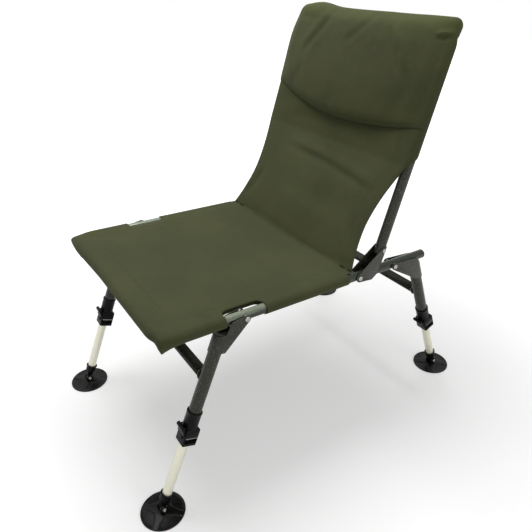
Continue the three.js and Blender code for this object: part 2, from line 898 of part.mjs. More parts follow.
// Each plug's head fills the space below the rail, and its sloping top is the stop for the unfolded leg
function legPlug(place) {
  const top = tubeTop(place);
  const bore = legRadius - legWall;
  const head = 2 * legRadius;
  const plug = turned(
    [
      [0, top - plugStem],
      [bore - seatGap, top - plugStem],
      [bore - seatGap, top + seatGap],
      [legRadius, top + seatGap],
      [legRadius, top + head],
      [0, top + head],
    ],
    roundSides,
  );
  return toGeometry(cut(toSolid(plug), railSlab(place, head, coveredRail + seatGap)));
}

function legBracket(pair, place) {
  const size = pair.bracket;
  const toPivot = Math.sign(place.pivotY);
  const web = -toPivot * (legChannel + bracketSheet);
  const slope = Math.tan(place.railLean);
  const crest = size.crest / Math.cos(place.railLean);
  const tip = toPivot * size.tipReach;
  const throat = toPivot * size.throatReach;
  const upAngle = Math.PI / 2 + place.railLean;
  const heel = [toPivot * legRadius, -size.foot + size.footRise];
  const fromHeel = Math.atan2(place.pivotZ - heel[1], toPivot * (place.pivotY - heel[0]));
  const underAngle = toPivot > 0 ? fromHeel - Math.PI / 2 : Math.PI * 1.5 - fromHeel;
  const shape = new THREE.Shape();
  shape.moveTo(web, -size.foot);
  shape.lineTo(heel[0], heel[1]);
  shape.lineTo(
    place.pivotY + bracketEyeRadius * Math.cos(underAngle),
    place.pivotZ + bracketEyeRadius * Math.sin(underAngle),
  );
  shape.absarc(place.pivotY, place.pivotZ, bracketEyeRadius, underAngle, upAngle, toPivot < 0);
  shape.lineTo(tip, tip * slope + crest);
  shape.quadraticCurveTo(throat, throat * slope, throat - toPivot * 2 * bracketSheet, -size.throatDrop);
  shape.lineTo(web, -size.webTop);
  const bracket = channelBracket(shape, legChannel, toPivot, place.pivotY, place.pivotZ, []);
  return toGeometry(cut(bracket, railSlab(place, legChannel, coveredRail + seatGap)));
}

// The box outline on plan, with rounded corners, inside the given edges
function roundedBox(half, front, rear, radius) {
  const shape = new THREE.Shape();
  shape.moveTo(-half + radius, -front).lineTo(half - radius, -front);
  shape.quadraticCurveTo(half, -front, half, -front + radius).lineTo(half, rear - radius);
  shape.quadraticCurveTo(half, rear, half - radius, rear).lineTo(-half + radius, rear);
  shape.quadraticCurveTo(-half, rear, -half, rear - radius).lineTo(-half, -front + radius);
  shape.quadraticCurveTo(-half, -front, -half + radius, -front);
  return shape;
}

function bothEars(near, far, make) {
  return [make(near, far), make(-far, -near)].map(toSolid);
}

function lockHousing(pair, place) {
  const sleeveTop = -pair.sleeveDrop;
  const top = place.boxTop;
  const sleeveRadius = legRadius + seatGap + sleeveWall;
  const rimRadius = legRadius + seatGap + sleeveRimWall;
  const sleeve = turned([
    [0, top - boxChamfer],
    [sleeveRadius, top - boxChamfer],
    [sleeveRadius, sleeveTop - sleeveRimHeight],
    [rimRadius, sleeveTop - sleeveRimHeight / 2],
    [rimRadius, sleeveTop],
    [0, sleeveTop],
  ]);
  const [half, front, rear] = [boxHalfWidth, boxFront, boxRear].map((size) => size - boxChamfer);
  const plan = roundedBox(half, front, rear, boxCornerRadius);
  const body = new THREE.ExtrudeGeometry(plan, {
    depth: boxHeight - 2 * boxChamfer,
    bevelSize: boxChamfer,
    bevelThickness: boxChamfer,
    bevelSegments: 1,
    curveSegments: 2,
  });
  body.translate(0, 0, place.boxFoot + boxChamfer);
  const socket = rod(boreRadius(legRadius), top, sleeveTop + overrun);
  const bore = rod(boreRadius(innerRadius), place.boxFoot - overrun, top + overrun);
  const window = block(-overrun, overrun, -windowFront, overrun, top - windowLow, top - windowHigh);
  const tongueHalf = plateTongueHalf + seatGap;
  const plateLow = top - plateDrop - plateThickness;
  const slit = block(-tongueHalf, tongueHalf, -overrun, 0, plateLow - plateTongueSlack, top - windowHigh);
  const earReach = leverEarRadius + 2 * seatGap;
  const pinHeight = top - leverPinDrop;
  const slots = bothEars(leverEarInside - seatGap, leverEarOutside + seatGap, (low, high) =>
    block(low, high, -overrun, -leverPinReach + earReach, pinHeight - earReach, pinHeight + earReach),
  );
  const pinRadius = boreRadius(leverPinRadius, seatGap, holeSides);
  const pinHoles = bothEars(leverEarInside, overrun, (low, high) =>
    crossRod(pinRadius, low, high, -leverPinReach, pinHeight, holeSides),
  );
  const cuts = [socket, bore, window, slit].map(toSolid);
  return toGeometry(cut(join(toSolid(body), toSolid(sleeve)), ...cuts, ...slots, ...pinHoles));
}

// The plate's hole is longer along the lever's swing, and a tongue at its front meets the lever's foot
function lockPlate(place) {
  const plate = new THREE.Shape();
  const front = -plateFront + 2 * seatGap;
  plate.moveTo(-plateTongueHalf, -plateTongueReach).lineTo(plateTongueHalf, -plateTongueReach);
  plate.lineTo(plateTongueHalf, front).lineTo(plateHalfWidth, front);
  plate.lineTo(plateHalfWidth, plateRear).lineTo(-plateHalfWidth, plateRear);
  plate.lineTo(-plateHalfWidth, front).lineTo(-plateTongueHalf, front);
  const hole = new THREE.Path();
  const holeHalf = innerRadius + plateHoleSlack;
  hole.absellipse(0, plateHoleSlack / 2, innerRadius + 2 * seatGap, holeHalf, 0, Math.PI * 2, true);
  plate.holes.push(hole);
  const geometry = new THREE.ExtrudeGeometry(plate, {
    depth: plateThickness,
    bevelEnabled: false,
    curveSegments: tubeArcSteps,
  });
  geometry.translate(0, 0, place.boxTop - plateDrop - plateThickness);
  return geometry;
}

// The thumb lever stands in front of the box, turns on a pin at each side and flares out into a lip
function lockLever(place) {
  const front = leverBackReach + leverThickness;
  const lipTip = front + lipReach - leverThickness;
  const profile = new THREE.Shape();
  profile.moveTo(-leverBackReach, -leverFoot).lineTo(-leverBackReach, -leverBend);
  profile.quadraticCurveTo(-leverBackReach - leverThickness / 2, lipRise / 2, -lipTip, lipRise);
  profile.lineTo(-lipTip, lipRise - lipThickness);
  profile.quadraticCurveTo(-front, -lipThickness, -front, -leverBend - lipThickness);
  profile.lineTo(-front, -leverFoot);
  const whole = sidePlate(profile, -lipHalfWidth, lipHalfWidth);
  const waste = bothEars(leverStemHalf, overrun, (low, high) =>
    block(low, high, -overrun, 0, -leverFoot - overrun, -leverStemTop),
  );
  const ears = bothEars(leverEarInside, leverEarOutside, (low, high) =>
    crossRod(leverEarRadius, low, high, -leverPinReach, -leverPinDrop, smallSides),
  );
  const arms = bothEars(leverEarInside, leverEarOutside, (low, high) =>
    block(
      low,
      high,
      -leverBackReach - leverThickness / 2,
      -leverPinReach,
      -leverPinDrop - leverEarRadius,
      -leverPinDrop + leverEarRadius,
    ),
  );
  const pins = bothEars(leverEarOutside - seatGap, leverPinEnd, (low, high) =>
    crossRod(leverPinRadius, low, high, -leverPinReach, -leverPinDrop, holeSides),
  );
  const geometry = toGeometry(join(cut(toSolid(whole), ...waste), ...ears, ...arms, ...pins));
  geometry.translate(0, 0, place.boxTop);
  return geometry;
}

// The least gap between a coil's turns, measured on the points of its centre line
function leastCoilGap(centres, stepsPerTurn, wireDiameter) {
  let least = Infinity;
  centres.forEach((a, i) => {
    centres.slice(i + Math.ceil(stepsPerTurn / 2)).forEach((b) => {
      least = Math.min(least, a.distanceTo(b) - wireDiameter);
    });
  });
  return least;
}

// The return spring is a small coil behind the inner leg, between the window's floor and the plate
function lockSpring(place) {
  const wire = springWire / 2;
  const low = place.boxTop - windowLow + seatGap + wire;
  const high = place.boxTop - plateDrop - plateThickness - seatGap - wire;
  const steps = springTurns * springSteps;
  const rings = [];
  const centres = [];
  for (let k = 0; k <= steps; k += 1) {
    const angle = (Math.PI * 2 * k) / springSteps;
    const height = low + ((high - low) * k) / steps;
    centres.push(new THREE.Vector3(springRadius * Math.cos(angle), springRadius * Math.sin(angle), height));
    const ring = [];
    for (let s = 0; s < springSides; s += 1) {
      const around = (Math.PI * 2 * s) / springSides;
      const out = springRadius + wire * Math.cos(around);
      const rise = wire * Math.sin(around);
      ring.push([out * Math.cos(angle), springReach + out * Math.sin(angle), height + rise]);
    }
    rings.push(ring);
  }
  const positions = rings.flat(2);
  const faces = [];
  for (let k = 0; k < steps; k += 1) {
    for (let s = 0; s < springSides; s += 1) {
      const a = k * springSides + s;
      const b = k * springSides + ((s + 1) % springSides);
      faces.push(a, a + springSides, b, b, a + springSides, b + springSides);
    }
  }
  const last = steps * springSides;
  for (let s = 1; s < springSides - 1; s += 1) {
    faces.push(0, s, s + 1, last, last + s + 1, last + s);
  }
  const gap = leastCoilGap(centres, springSteps, springWire);
  console.log(`lock spring: least gap between turns ${gap.toFixed(2)} mm`);
  const geometry = new THREE.BufferGeometry();
  geometry.setAttribute("position", new THREE.Float32BufferAttribute(positions, 3));
  geometry.setIndex(faces);
  return toGeometry(toSolid(geometry));
}

function innerLeg(place) {
  const foot = -place.length + socketRise - socketDepth + seatGap;
  const top = place.boxFoot + legInsert;
  return straightTube(innerRadius, innerLegWall, foot, top);
}

// The foot socket: a flared cup round the inner leg and a tongue that stands on the foot's pin
function footSocket(place) {
  const rim = -place.length + socketRise;
  const floor = rim - socketDepth;
  const bore = boreRadius(innerRadius);
  const cup = turned([
    [0, floor - socketFloor],
    [socketRadius - socketFloor / 2, floor - socketFloor],
    [socketRadius, floor],
    [socketRadius, rim - socketFlare],
    [socketRimRadius, rim],
    [bore, rim],
    [bore, floor],
    [0, floor],
  ]);
  const half = tongueThickness / 2;
  const bar = block(-half, half, -tongueRadius, tongueRadius, -place.length, floor - socketFloor / 2);
  const end = crossRod(tongueRadius, -half, half, 0, -place.length);
  const hole = crossRod(footPinHole, -overrun, overrun, 0, -place.length, holeSides);
  return toGeometry(cut(join(toSolid(cup), toSolid(bar), toSolid(end)), toSolid(hole)));
}

function footPin(place) {
  const earOutside = tongueThickness / 2 + seatGap + earThickness;
  const half = [
    [footPinRadius, earOutside + seatGap],
    [footPinHeadRadius, earOutside + seatGap],
    [footPinHeadRadius * rivetCrownShare, earOutside + seatGap + footPinHeadHeight],
    [0, earOutside + seatGap + footPinHeadHeight],
  ];
  const left = half.map(([r, x]) => [r, -x]).reverse();
  return turnedAcross([...left, ...half], 0, -place.length, smallSides);
}

// The foot: a round dish whose four buttress ribs rise to a hub with two ears for the pin
const footRingShares = [0, 0.2, 0.34, 0.5, 0.68, 0.86, 1];
const footDishShares = [1, 1, 0.72, 0.22, 0.08, 0.1, 0.14];
const footRibShares = [1, 1, 0.95, 0.74, 0.5, 0.3, 0.14];
const footRibWidthShares = [1, 1, 1, 0.62, 0.5, 0.52, 0.9];
const footRibSpanShare = 0.42;
const footRibCrestShare = 0.12;
const footRibTurnDegrees = 48;
const footRibs = 4;
const footSectors = 24;

function foot() {
  const positions = [0, 0, 0, 0, 0, hubHeight];
  const faces = [];
  const ribAngle = Math.PI / footRibs;
  const height = (ring, angle) => {
    const fromRib = Math.abs(((angle / ribAngle + 2 * footRibs) % 2) - 1);
    const onRib = 1 - fromRib;
    const low = 1 - footRibSpanShare * footRibWidthShares[ring];
    const share = THREE.MathUtils.smoothstep(onRib, low, 1 - footRibCrestShare);
    const dish = footDishShares[ring];
    const rise = dish + (footRibShares[ring] - dish) * share;
    return footRim + (hubHeight - footRim) * rise;
  };
  const rings = footRingShares.slice(1);
  rings.forEach((radiusShare, index) => {
    for (let s = 0; s < footSectors; s += 1) {
      const angle = (Math.PI * 2 * s) / footSectors;
      const radius = footRadius * radiusShare;
      positions.push(radius * Math.cos(angle), radius * Math.sin(angle), height(index + 1, angle));
    }
  });
  for (let s = 0; s < footSectors; s += 1) {
    const angle = (Math.PI * 2 * s) / footSectors;
    positions.push(footRadius * Math.cos(angle), footRadius * Math.sin(angle), 0);
  }
  const first = 2;
  const next = (s) => (s + 1) % footSectors;
  for (let s = 0; s < footSectors; s += 1) {
    faces.push(1, first + s, first + next(s));
    for (let ring = 0; ring < rings.length; ring += 1) {
      const a = first + ring * footSectors;
      const b = a + footSectors;
      faces.push(a + s, b + s, b + next(s), a + s, b + next(s), a + next(s));
    }
    const base = first + rings.length * footSectors;
    faces.push(0, base + next(s), base + s);
  }
  const dish = new THREE.BufferGeometry();
  dish.setAttribute("position", new THREE.Float32BufferAttribute(positions, 3));
  dish.setIndex(faces);
  dish.rotateZ(radians(footRibTurnDegrees));
  const near = tongueThickness / 2 + seatGap;
  const ears = [-1, 1].flatMap((sign) => {
    const low = Math.min(sign * near, sign * (near + earThickness));
    const high = Math.max(sign * near, sign * (near + earThickness));
    return [
      toSolid(crossRod(earRadius, low, high, 0, footPinHeight, smallSides)),
      toSolid(block(low, high, -earRadius, earRadius, footRim / 2, footPinHeight)),
    ];
  });
  const hole = toSolid(crossRod(footPinHole, -overrun, overrun, 0, footPinHeight, holeSides));
  return toGeometry(cut(join(toSolid(dish), ...ears), hole));
}

for (const pair of legPairs) {
  const place = legPlaces(pair);
  const legs = new THREE.Group();
  legs.position.set(0, place.topY, place.topZ);
  legs.rotation.x = -place.lean;
  chair.add(legs);
  piece(legs, `${pair.name}_leg_frame`, "hammertone", legFrame(pair, place));
  for (const [side, sign] of sides) {
    const part = (name, material, geometry) => {
      piece(legs, `${pair.name}_${name}_${side}`, material, geometry).position.x = sign * halfRail;
    };
    part("leg_bracket", "hammertone", legBracket(pair, place));
    part("leg_plug", "blackPlastic", legPlug(place));
    part("lock_housing", "blackPlastic", lockHousing(pair, place));
    part("lock_spring", "steel", lockSpring(place));
    part("lock_plate", "steel", lockPlate(place));
    part("lock_lever", "blackPlastic", lockLever(place));
    part("inner_leg", "aluminium", innerLeg(place));
    part("foot_socket", "blackPlastic", footSocket(place));
    part("foot_pin", "steel", footPin(place));
    const dish = piece(chair, `${pair.name}_foot_${side}`, "footRubber", foot());
    dish.position.set(sign * halfRail, pair.footY, 0);
  }
}

export default chair;
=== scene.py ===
import math

import bpy
from mathutils import Matrix, Vector, noise


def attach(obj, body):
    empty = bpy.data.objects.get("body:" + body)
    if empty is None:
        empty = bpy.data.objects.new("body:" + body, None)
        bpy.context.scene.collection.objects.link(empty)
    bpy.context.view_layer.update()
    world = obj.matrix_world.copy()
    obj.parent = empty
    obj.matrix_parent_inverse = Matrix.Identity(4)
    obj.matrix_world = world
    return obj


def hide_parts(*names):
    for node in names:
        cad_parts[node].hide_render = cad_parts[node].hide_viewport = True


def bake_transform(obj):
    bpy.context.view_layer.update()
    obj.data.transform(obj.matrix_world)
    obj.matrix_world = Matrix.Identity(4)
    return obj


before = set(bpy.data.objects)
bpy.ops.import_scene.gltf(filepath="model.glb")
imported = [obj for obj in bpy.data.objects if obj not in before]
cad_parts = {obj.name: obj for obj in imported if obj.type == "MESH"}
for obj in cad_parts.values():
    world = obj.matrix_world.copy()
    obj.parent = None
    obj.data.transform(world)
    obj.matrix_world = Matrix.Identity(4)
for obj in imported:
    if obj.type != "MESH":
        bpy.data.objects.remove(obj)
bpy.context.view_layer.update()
scene = bpy.context.scene
scene.view_settings.view_transform = "Standard"
mm = 0.001
print("metal frame loaded,", len(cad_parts), "nodes")

# The chair's own measures in millimetres and degrees, as its metal parts have them.
# Reach is measured back along the seat rail from the front legs' pivot.
chair = {
    "half": 230, "railHeight": 398.6, "tilt": 2.4, "footMiddle": 197.05,
    "railRadius": 10, "postRadius": 11, "legRadius": 12.5, "innerRadius": 9.7,
    "wall": 1.5, "legWall": 2.3, "bendSteps": 14,
    "railFront": -161.3, "railRear": 475, "railCorner": 42,
    "backPivot": 277, "postReach": 323, "recline": 15.7,
    "postFoot": 41.5, "backTop": 490, "backCorner": 38, "taper": 5, "footPin": 14,
}
legPairs = {
    "front": {"top": -38.1, "pivot": 0, "foot": -201.2, "sleeve": 189},
    "rear": {"top": 447.6, "pivot": 378.6, "foot": 595.3, "sleeve": 177},
}
sides = {"Left": -1, "Right": 1}
welded = 0.000002  # points of rigid pieces nearer than this are one


def turnX(degrees):
    return Matrix.Rotation(math.radians(degrees), 4, "X")


def turnY(degrees):
    return Matrix.Rotation(math.radians(degrees), 4, "Y")


def shift(x, y, z):
    return Matrix.Translation((x * mm, y * mm, z * mm))


def millimetres(*values):
    return tuple(value * mm for value in values)


def held(value):
    return max(0, min(1, value))


def eased(value):
    # 0 to 1 with a soft start and end
    return held(value) ** 2 * (3 - 2 * held(value))


def between(table, place):
    # the value at a place in a table of (place, value), straight from one entry to the next
    for (low, first), (high, second) in zip(table, table[1:]):
        if place <= high:
            return first + (second - first) * (place - low) / (high - low)
    return table[-1][1]


railPlace = shift(0, -chair["footMiddle"], chair["railHeight"]) @ turnX(-chair["tilt"])
backPlace = railPlace @ shift(0, chair["postReach"], 0) @ turnX(-chair["recline"])
for pair in legPairs.values():
    topY = pair["top"] * math.cos(math.radians(chair["tilt"]))
    topZ = chair["railHeight"] - pair["top"] * math.sin(math.radians(chair["tilt"]))
    lean = math.atan2(topY - pair["foot"], topZ - chair["footPin"])
    pair["length"] = math.hypot(topY - pair["foot"], topZ - chair["footPin"])
    pair["place"] = shift(0, topY - chair["footMiddle"], topZ) @ turnX(-math.degrees(lean))
    pair["railLean"] = lean - math.radians(chair["tilt"])


# Small helpers that do what a hand does in the viewport
def objectMode():
    bpy.ops.object.mode_set(mode="OBJECT")


def clearSelection():
    if bpy.context.mode != "OBJECT":
        objectMode()
    bpy.ops.object.select_all(action="DESELECT")


def pick(piece):
    clearSelection()
    piece.select_set(True)
    bpy.context.view_layer.objects.active = piece


def applied():
    bpy.ops.object.transform_apply(location=True, rotation=True, scale=True)


def newest(name):
    piece = bpy.context.object
    applied()
    piece.name = piece.data.name = name
    return piece


def linked(name, data):
    piece = bpy.data.objects.new(name, data)
    scene.collection.objects.link(piece)
    return piece


def copied(part, name):
    # a copy with a mesh of its own
    piece = part.copy()
    piece.data = part.data.copy()
    piece.name = piece.data.name = name
    scene.collection.objects.link(piece)
    return piece


def editAll():
    bpy.ops.object.mode_set(mode="EDIT")
    bpy.ops.mesh.select_all(action="SELECT")


def extrude(x, y, z):
    bpy.ops.mesh.extrude_region_move(TRANSFORM_OT_translate={"value": millimetres(x, y, z)})


def weld(piece, threshold=welded):
    # points that meet become one, and the faces turn outwards
    pick(piece)
    editAll()
    bpy.ops.mesh.remove_doubles(threshold=threshold)
    bpy.ops.mesh.normals_make_consistent(inside=False)
    objectMode()


def modify(piece, kind, **values):
    modifier = piece.modifiers.new(kind.lower(), kind)
    for name, value in values.items():
        setattr(modifier, name, value)
    pick(piece)
    bpy.ops.object.modifier_apply(modifier=modifier.name)


def closeUp(piece, edge=0.0, segments=2, smooth=38):
    weld(piece)
    if edge:
        modify(piece, "BEVEL", width=edge * mm, segments=segments, limit_method="ANGLE",
               angle_limit=math.radians(32), use_clamp_overlap=True, loop_slide=True)
    pick(piece)
    bpy.ops.object.shade_smooth_by_angle(angle=math.radians(smooth))


def combine(piece, tool, operation="DIFFERENCE"):
    modify(piece, "BOOLEAN", operation=operation, solver="EXACT", object=tool)
    bpy.data.objects.remove(tool)


def settle(piece, place):
    pick(piece)
    piece.matrix_world = place
    applied()


def box(name, low, high):
    clearSelection()
    middle = [(a + b) / 2 for a, b in zip(low, high)]
    size = [b - a for a, b in zip(low, high)]
    bpy.ops.mesh.primitive_cube_add(size=1, location=millimetres(*middle), scale=millimetres(*size))
    return newest(name)


def ringStack(name, rings, count=40):
    # rings are (radius, height) from the first disc on; the last one stays closed as well
    clearSelection()
    radius, height = rings[0]
    bpy.ops.mesh.primitive_circle_add(vertices=count, radius=radius * mm, fill_type="NGON",
                                      location=millimetres(0, 0, height))
    piece = newest(name)
    editAll()
    for (radius, height), (nextRadius, nextHeight) in zip(rings, rings[1:]):
        extrude(0, 0, nextHeight - height)
        grow = nextRadius / radius
        bpy.ops.transform.resize(value=(grow, grow, 1), center_override=millimetres(0, 0, nextHeight))
    objectMode()
    return piece


def crossRod(name, radius, low, high, y, z, count=32):
    clearSelection()
    bpy.ops.mesh.primitive_cylinder_add(vertices=count, radius=radius * mm, depth=(high - low) * mm,
                                        location=millimetres((low + high) / 2, y, z),
                                        rotation=(0, math.pi / 2, 0))
    return newest(name)


def drawnTube(name, radius, start, facing, moves, wall, count=32):
    # a ring drawn along its moves: (x, y, z) runs straight, (centre, axis) bends by a quarter turn
    clearSelection()
    bpy.ops.mesh.primitive_circle_add(vertices=count, radius=radius * mm, fill_type="NOTHING",
                                      location=millimetres(*start), rotation=facing)
    piece = newest(name)
    editAll()
    for move in moves:
        if len(move) == 3:
            extrude(*move)
        else:
            centre, axis = move
            bpy.ops.mesh.spin(steps=chair["bendSteps"], angle=-math.pi / 2, center=millimetres(*centre), axis=axis)
    weld(piece)
    modify(piece, "SOLIDIFY", thickness=wall * mm, offset=-1)
    closeUp(piece, edge=0.25, segments=1)
    return piece


def bentFrame(name, radius, start, facing, up, centre, axis, down):
    # a tube bent twice: up one side, across between the two corners, and down the other side
    x, y, z = centre
    moves = [up, ((-x, y, z), axis), (2 * x, 0, 0), ((x, y, z), axis), down]
    return drawnTube(name, radius, start, facing, moves, chair["wall"])


def dressed(node, name, edge):
    # a copy of a pressed or moulded metal-frame part, with its sharp edges broken
    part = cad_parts[node]
    piece = copied(part, name)
    piece.animation_data_clear()
    piece.parent = None
    piece.data.materials.clear()
    settle(piece, part.matrix_world.copy())
    editAll()
    bpy.ops.mesh.remove_doubles(threshold=0.000005)
    bpy.ops.mesh.dissolve_limited(angle_limit=math.radians(1))
    objectMode()
    closeUp(piece, edge)
    return piece


def give(piece, material, body, slot, *nodes):
    piece.data.materials.clear()
    piece.data.materials.append(material)
    if body:  # what crosses a joint gets no body here
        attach(piece, body)
    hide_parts(*nodes)


def onBothSides(pattern, name, place, material, body, slot, node):
    # one copy with its own mesh on each side; the pattern itself goes
    for side, sign in sides.items():
        piece = copied(pattern, name + side)
        settle(piece, place @ shift(sign * chair["half"], 0, 0))
        give(piece, material, body and body.format(side.lower()), slot, node.format(side.lower()))
    bpy.data.objects.remove(pattern)


# Shader helpers
class Board:
    # a material's or a node group's node tree, with short words for placing and linking nodes
    def __init__(self, tree):
        self.tree = tree
        self.tree.nodes.clear()

    def feed(self, value, socket):
        if isinstance(value, bpy.types.NodeSocket):
            self.tree.links.new(value, socket)
        else:
            socket.default_value = value

    def put(self, node, inputs):
        for name, value in inputs.items():
            self.feed(value, node.inputs[name])

    def node(self, kind, inputs=None, **settings):
        made = self.tree.nodes.new("ShaderNode" + kind)
        for name, value in settings.items():
            setattr(made, name, value)
        self.put(made, inputs or {})
        return made

    def place(self):
        return self.node("TexCoord").outputs["Object"]

    def split(self, vector):
        return self.node("SeparateXYZ", {"Vector": vector}).outputs

    def math(self, operation, *values, clamp=False):
        return self.node("Math", dict(enumerate(values)), operation=operation, use_clamp=clamp).outputs[0]

    def times(self, first, second, clamp=False):
        return self.math("MULTIPLY", first, second, clamp=clamp)

    def plus(self, first, second):
        return self.math("ADD", first, second)

    def minus(self, first, second):
        return self.math("SUBTRACT", first, second)

    def larger(self, first, second):
        return self.math("MAXIMUM", first, second)

    def ramp(self, value, low, high, toLow=0.0, toHigh=1.0):
        made = self.node("MapRange", {"Value": value, "From Min": low, "From Max": high,
                                      "To Min": toLow, "To Max": toHigh}, interpolation_type="SMOOTHSTEP")
        return made.outputs["Result"]

    def blend(self, share, first, second):
        # a Mix node holds one set of sockets for each kind of data; these are the colour ones
        return self.node("Mix", {0: share, 6: first, 7: second}, data_type="RGBA").outputs[2]

    def noise(self, vector, scale, detail=2.0, roughness=0.5):
        return self.node("TexNoise", {"Vector": vector, "Scale": scale, "Detail": detail,
                                      "Roughness": roughness}).outputs["Fac"]

    def group(self, tree, inputs):
        made = self.node("Group", node_tree=tree)
        self.put(made, inputs)
        return made.outputs

    def bump(self, height, strength, distance, over=None):
        inputs = {"Height": height, "Strength": strength, "Distance": distance}
        if over:
            inputs["Normal"] = over
        return self.node("Bump", inputs).outputs["Normal"]

    def surface(self, base, rough, relief, metallic=0.0, shine=0.5):
        # relief is what the bump node takes: height, strength, distance and the normal it lies over
        self.put(self.shader, {"Base Color": base, "Roughness": rough, "Normal": self.bump(*relief),
                               "Metallic": metallic, "Specular IOR Level": shine})
        return self.material


def newGroup(name, inputs, outputs):
    # sockets are plain values; an input that is given none is a vector
    tree = bpy.data.node_groups.new(name, "ShaderNodeTree")
    for socket, value in inputs.items():
        kind = "NodeSocketVector" if value is None else "NodeSocketFloat"
        made = tree.interface.new_socket(socket, in_out="INPUT", socket_type=kind)
        if value is not None:
            made.default_value = value
    for socket in outputs:
        tree.interface.new_socket(socket, in_out="OUTPUT", socket_type="NodeSocketFloat")
    return Board(tree), tree.nodes.new("NodeGroupOutput"), tree.nodes.new("NodeGroupInput").outputs


def colour(*values):
    # a colour read off as 0..255 screen values, in linear light
    def linear(share):
        return share / 12.92 if share <= 0.04045 else ((share + 0.055) / 1.055) ** 2.4
    return tuple(linear(value / 255) for value in values) + (1.0,)


def newMaterial(name):
    material = bpy.data.materials.new(name)
    material.use_nodes = True
    board = Board(material.node_tree)
    board.material, board.shader = material, board.node("BsdfPrincipled")
    board.node("OutputMaterial", {"Surface": board.shader.outputs["BSDF"]})
    return board


def weaveGroup():
    # plain weave from a cloth map in metres: yarns over and under, with uneven thickness
    board, out, given = newGroup("wovenYarns", {
        "Cloth map": None, "Yarns per metre": 1700.0, "Slub": 0.35}, ("Height", "Shade"))
    parts = board.split(given["Cloth map"])
    turn = board.times(given["Yarns per metre"], math.pi)
    warp, weft = (board.math("SINE", board.times(parts[axis], turn)) for axis in "XY")
    across, along = (board.math("ABSOLUTE", wave) for wave in (warp, weft))
    upper = board.ramp(board.times(warp, weft), -0.25, 0.25)
    height = board.plus(board.times(across, upper), board.times(along, board.minus(1.0, upper)))
    slubs = board.minus(board.noise(given["Cloth map"], 420.0, 3.0), 0.5)
    height = board.plus(height, board.times(slubs, given["Slub"]))
    board.put(out, {"Height": height, "Shade": board.ramp(height, 0.2, 1.0)})
    return board.tree


def stitchGroup():
    # a row of lockstitches beside a seam: distance from the seam and run along it, in metres
    board, out, given = newGroup("stitchRow", {
        "Distance": 1.0, "Run": 0.0, "Beside": 0.0, "Stitch length": 0.0036, "Thread": 0.00055,
    }, ("Thread", "Dimple"))
    aside = board.math("ABSOLUTE", board.minus(given["Distance"], given["Beside"]))
    phase = board.math("FRACT", board.math("DIVIDE", given["Run"], given["Stitch length"]))
    along = board.math("ABSOLUTE", board.minus(phase, 0.5))
    onThread = board.ramp(aside, board.times(given["Thread"], 1.1), board.times(given["Thread"], 0.6))
    board.put(out, {"Thread": board.times(onThread, board.ramp(along, 0.42, 0.36)),
                    "Dimple": board.ramp(aside, 0.0035, 0.0004)})
    return board.tree


def wearGroup():
    # edges that have rubbed bright, from the mesh's own edges broken up by noise
    board, out, given = newGroup("edgeWear", {"Reach": 0.0008, "Amount": 0.5, "Break up": 160.0}, ("Worn",))
    plain = board.node("NewGeometry").outputs["Normal"]
    rounded = board.node("Bevel", {"Radius": given["Reach"]}, samples=4).outputs["Normal"]
    facing = board.node("VectorMath", {0: plain, 1: rounded}, operation="DOT_PRODUCT").outputs["Value"]
    spots = board.ramp(board.noise(board.place(), given["Break up"], 4.0, 0.65), 0.4, 0.62)
    edge = board.times(board.ramp(facing, 0.995, 0.86), spots)
    board.put(out, {"Worn": board.times(edge, given["Amount"], clamp=True)})
    return board.tree


def grainGroup():
    # the fine grain of a surface and broad uneven patches, on object coordinates
    board, out, given = newGroup("surfaceGrain", {"Grain": 1400.0, "Patches": 18.0}, ("Fine", "Broad"))
    place = board.place()
    board.put(out, {"Fine": board.noise(place, given["Grain"]),
                    "Broad": board.noise(place, given["Patches"], 3.0, 0.55)})
    return board.tree


def dustGroup():
    # a little dust on whatever faces up
    board, out, given = newGroup("restingDust", {"Amount": 0.2, "Clumps": 60.0}, ("Dust",))
    clumps = board.ramp(board.noise(board.place(), given["Clumps"], 4.0, 0.6), 0.35, 0.75)
    facing = board.ramp(board.split(board.node("NewGeometry").outputs["Normal"])["Z"], 0.3, 1.0)
    board.put(out, {"Dust": board.times(board.times(facing, clumps), given["Amount"])})
    return board.tree


weave, stitchRow, edgeWear = weaveGroup(), stitchGroup(), wearGroup()
surfaceGrain, restingDust = grainGroup(), dustGroup()


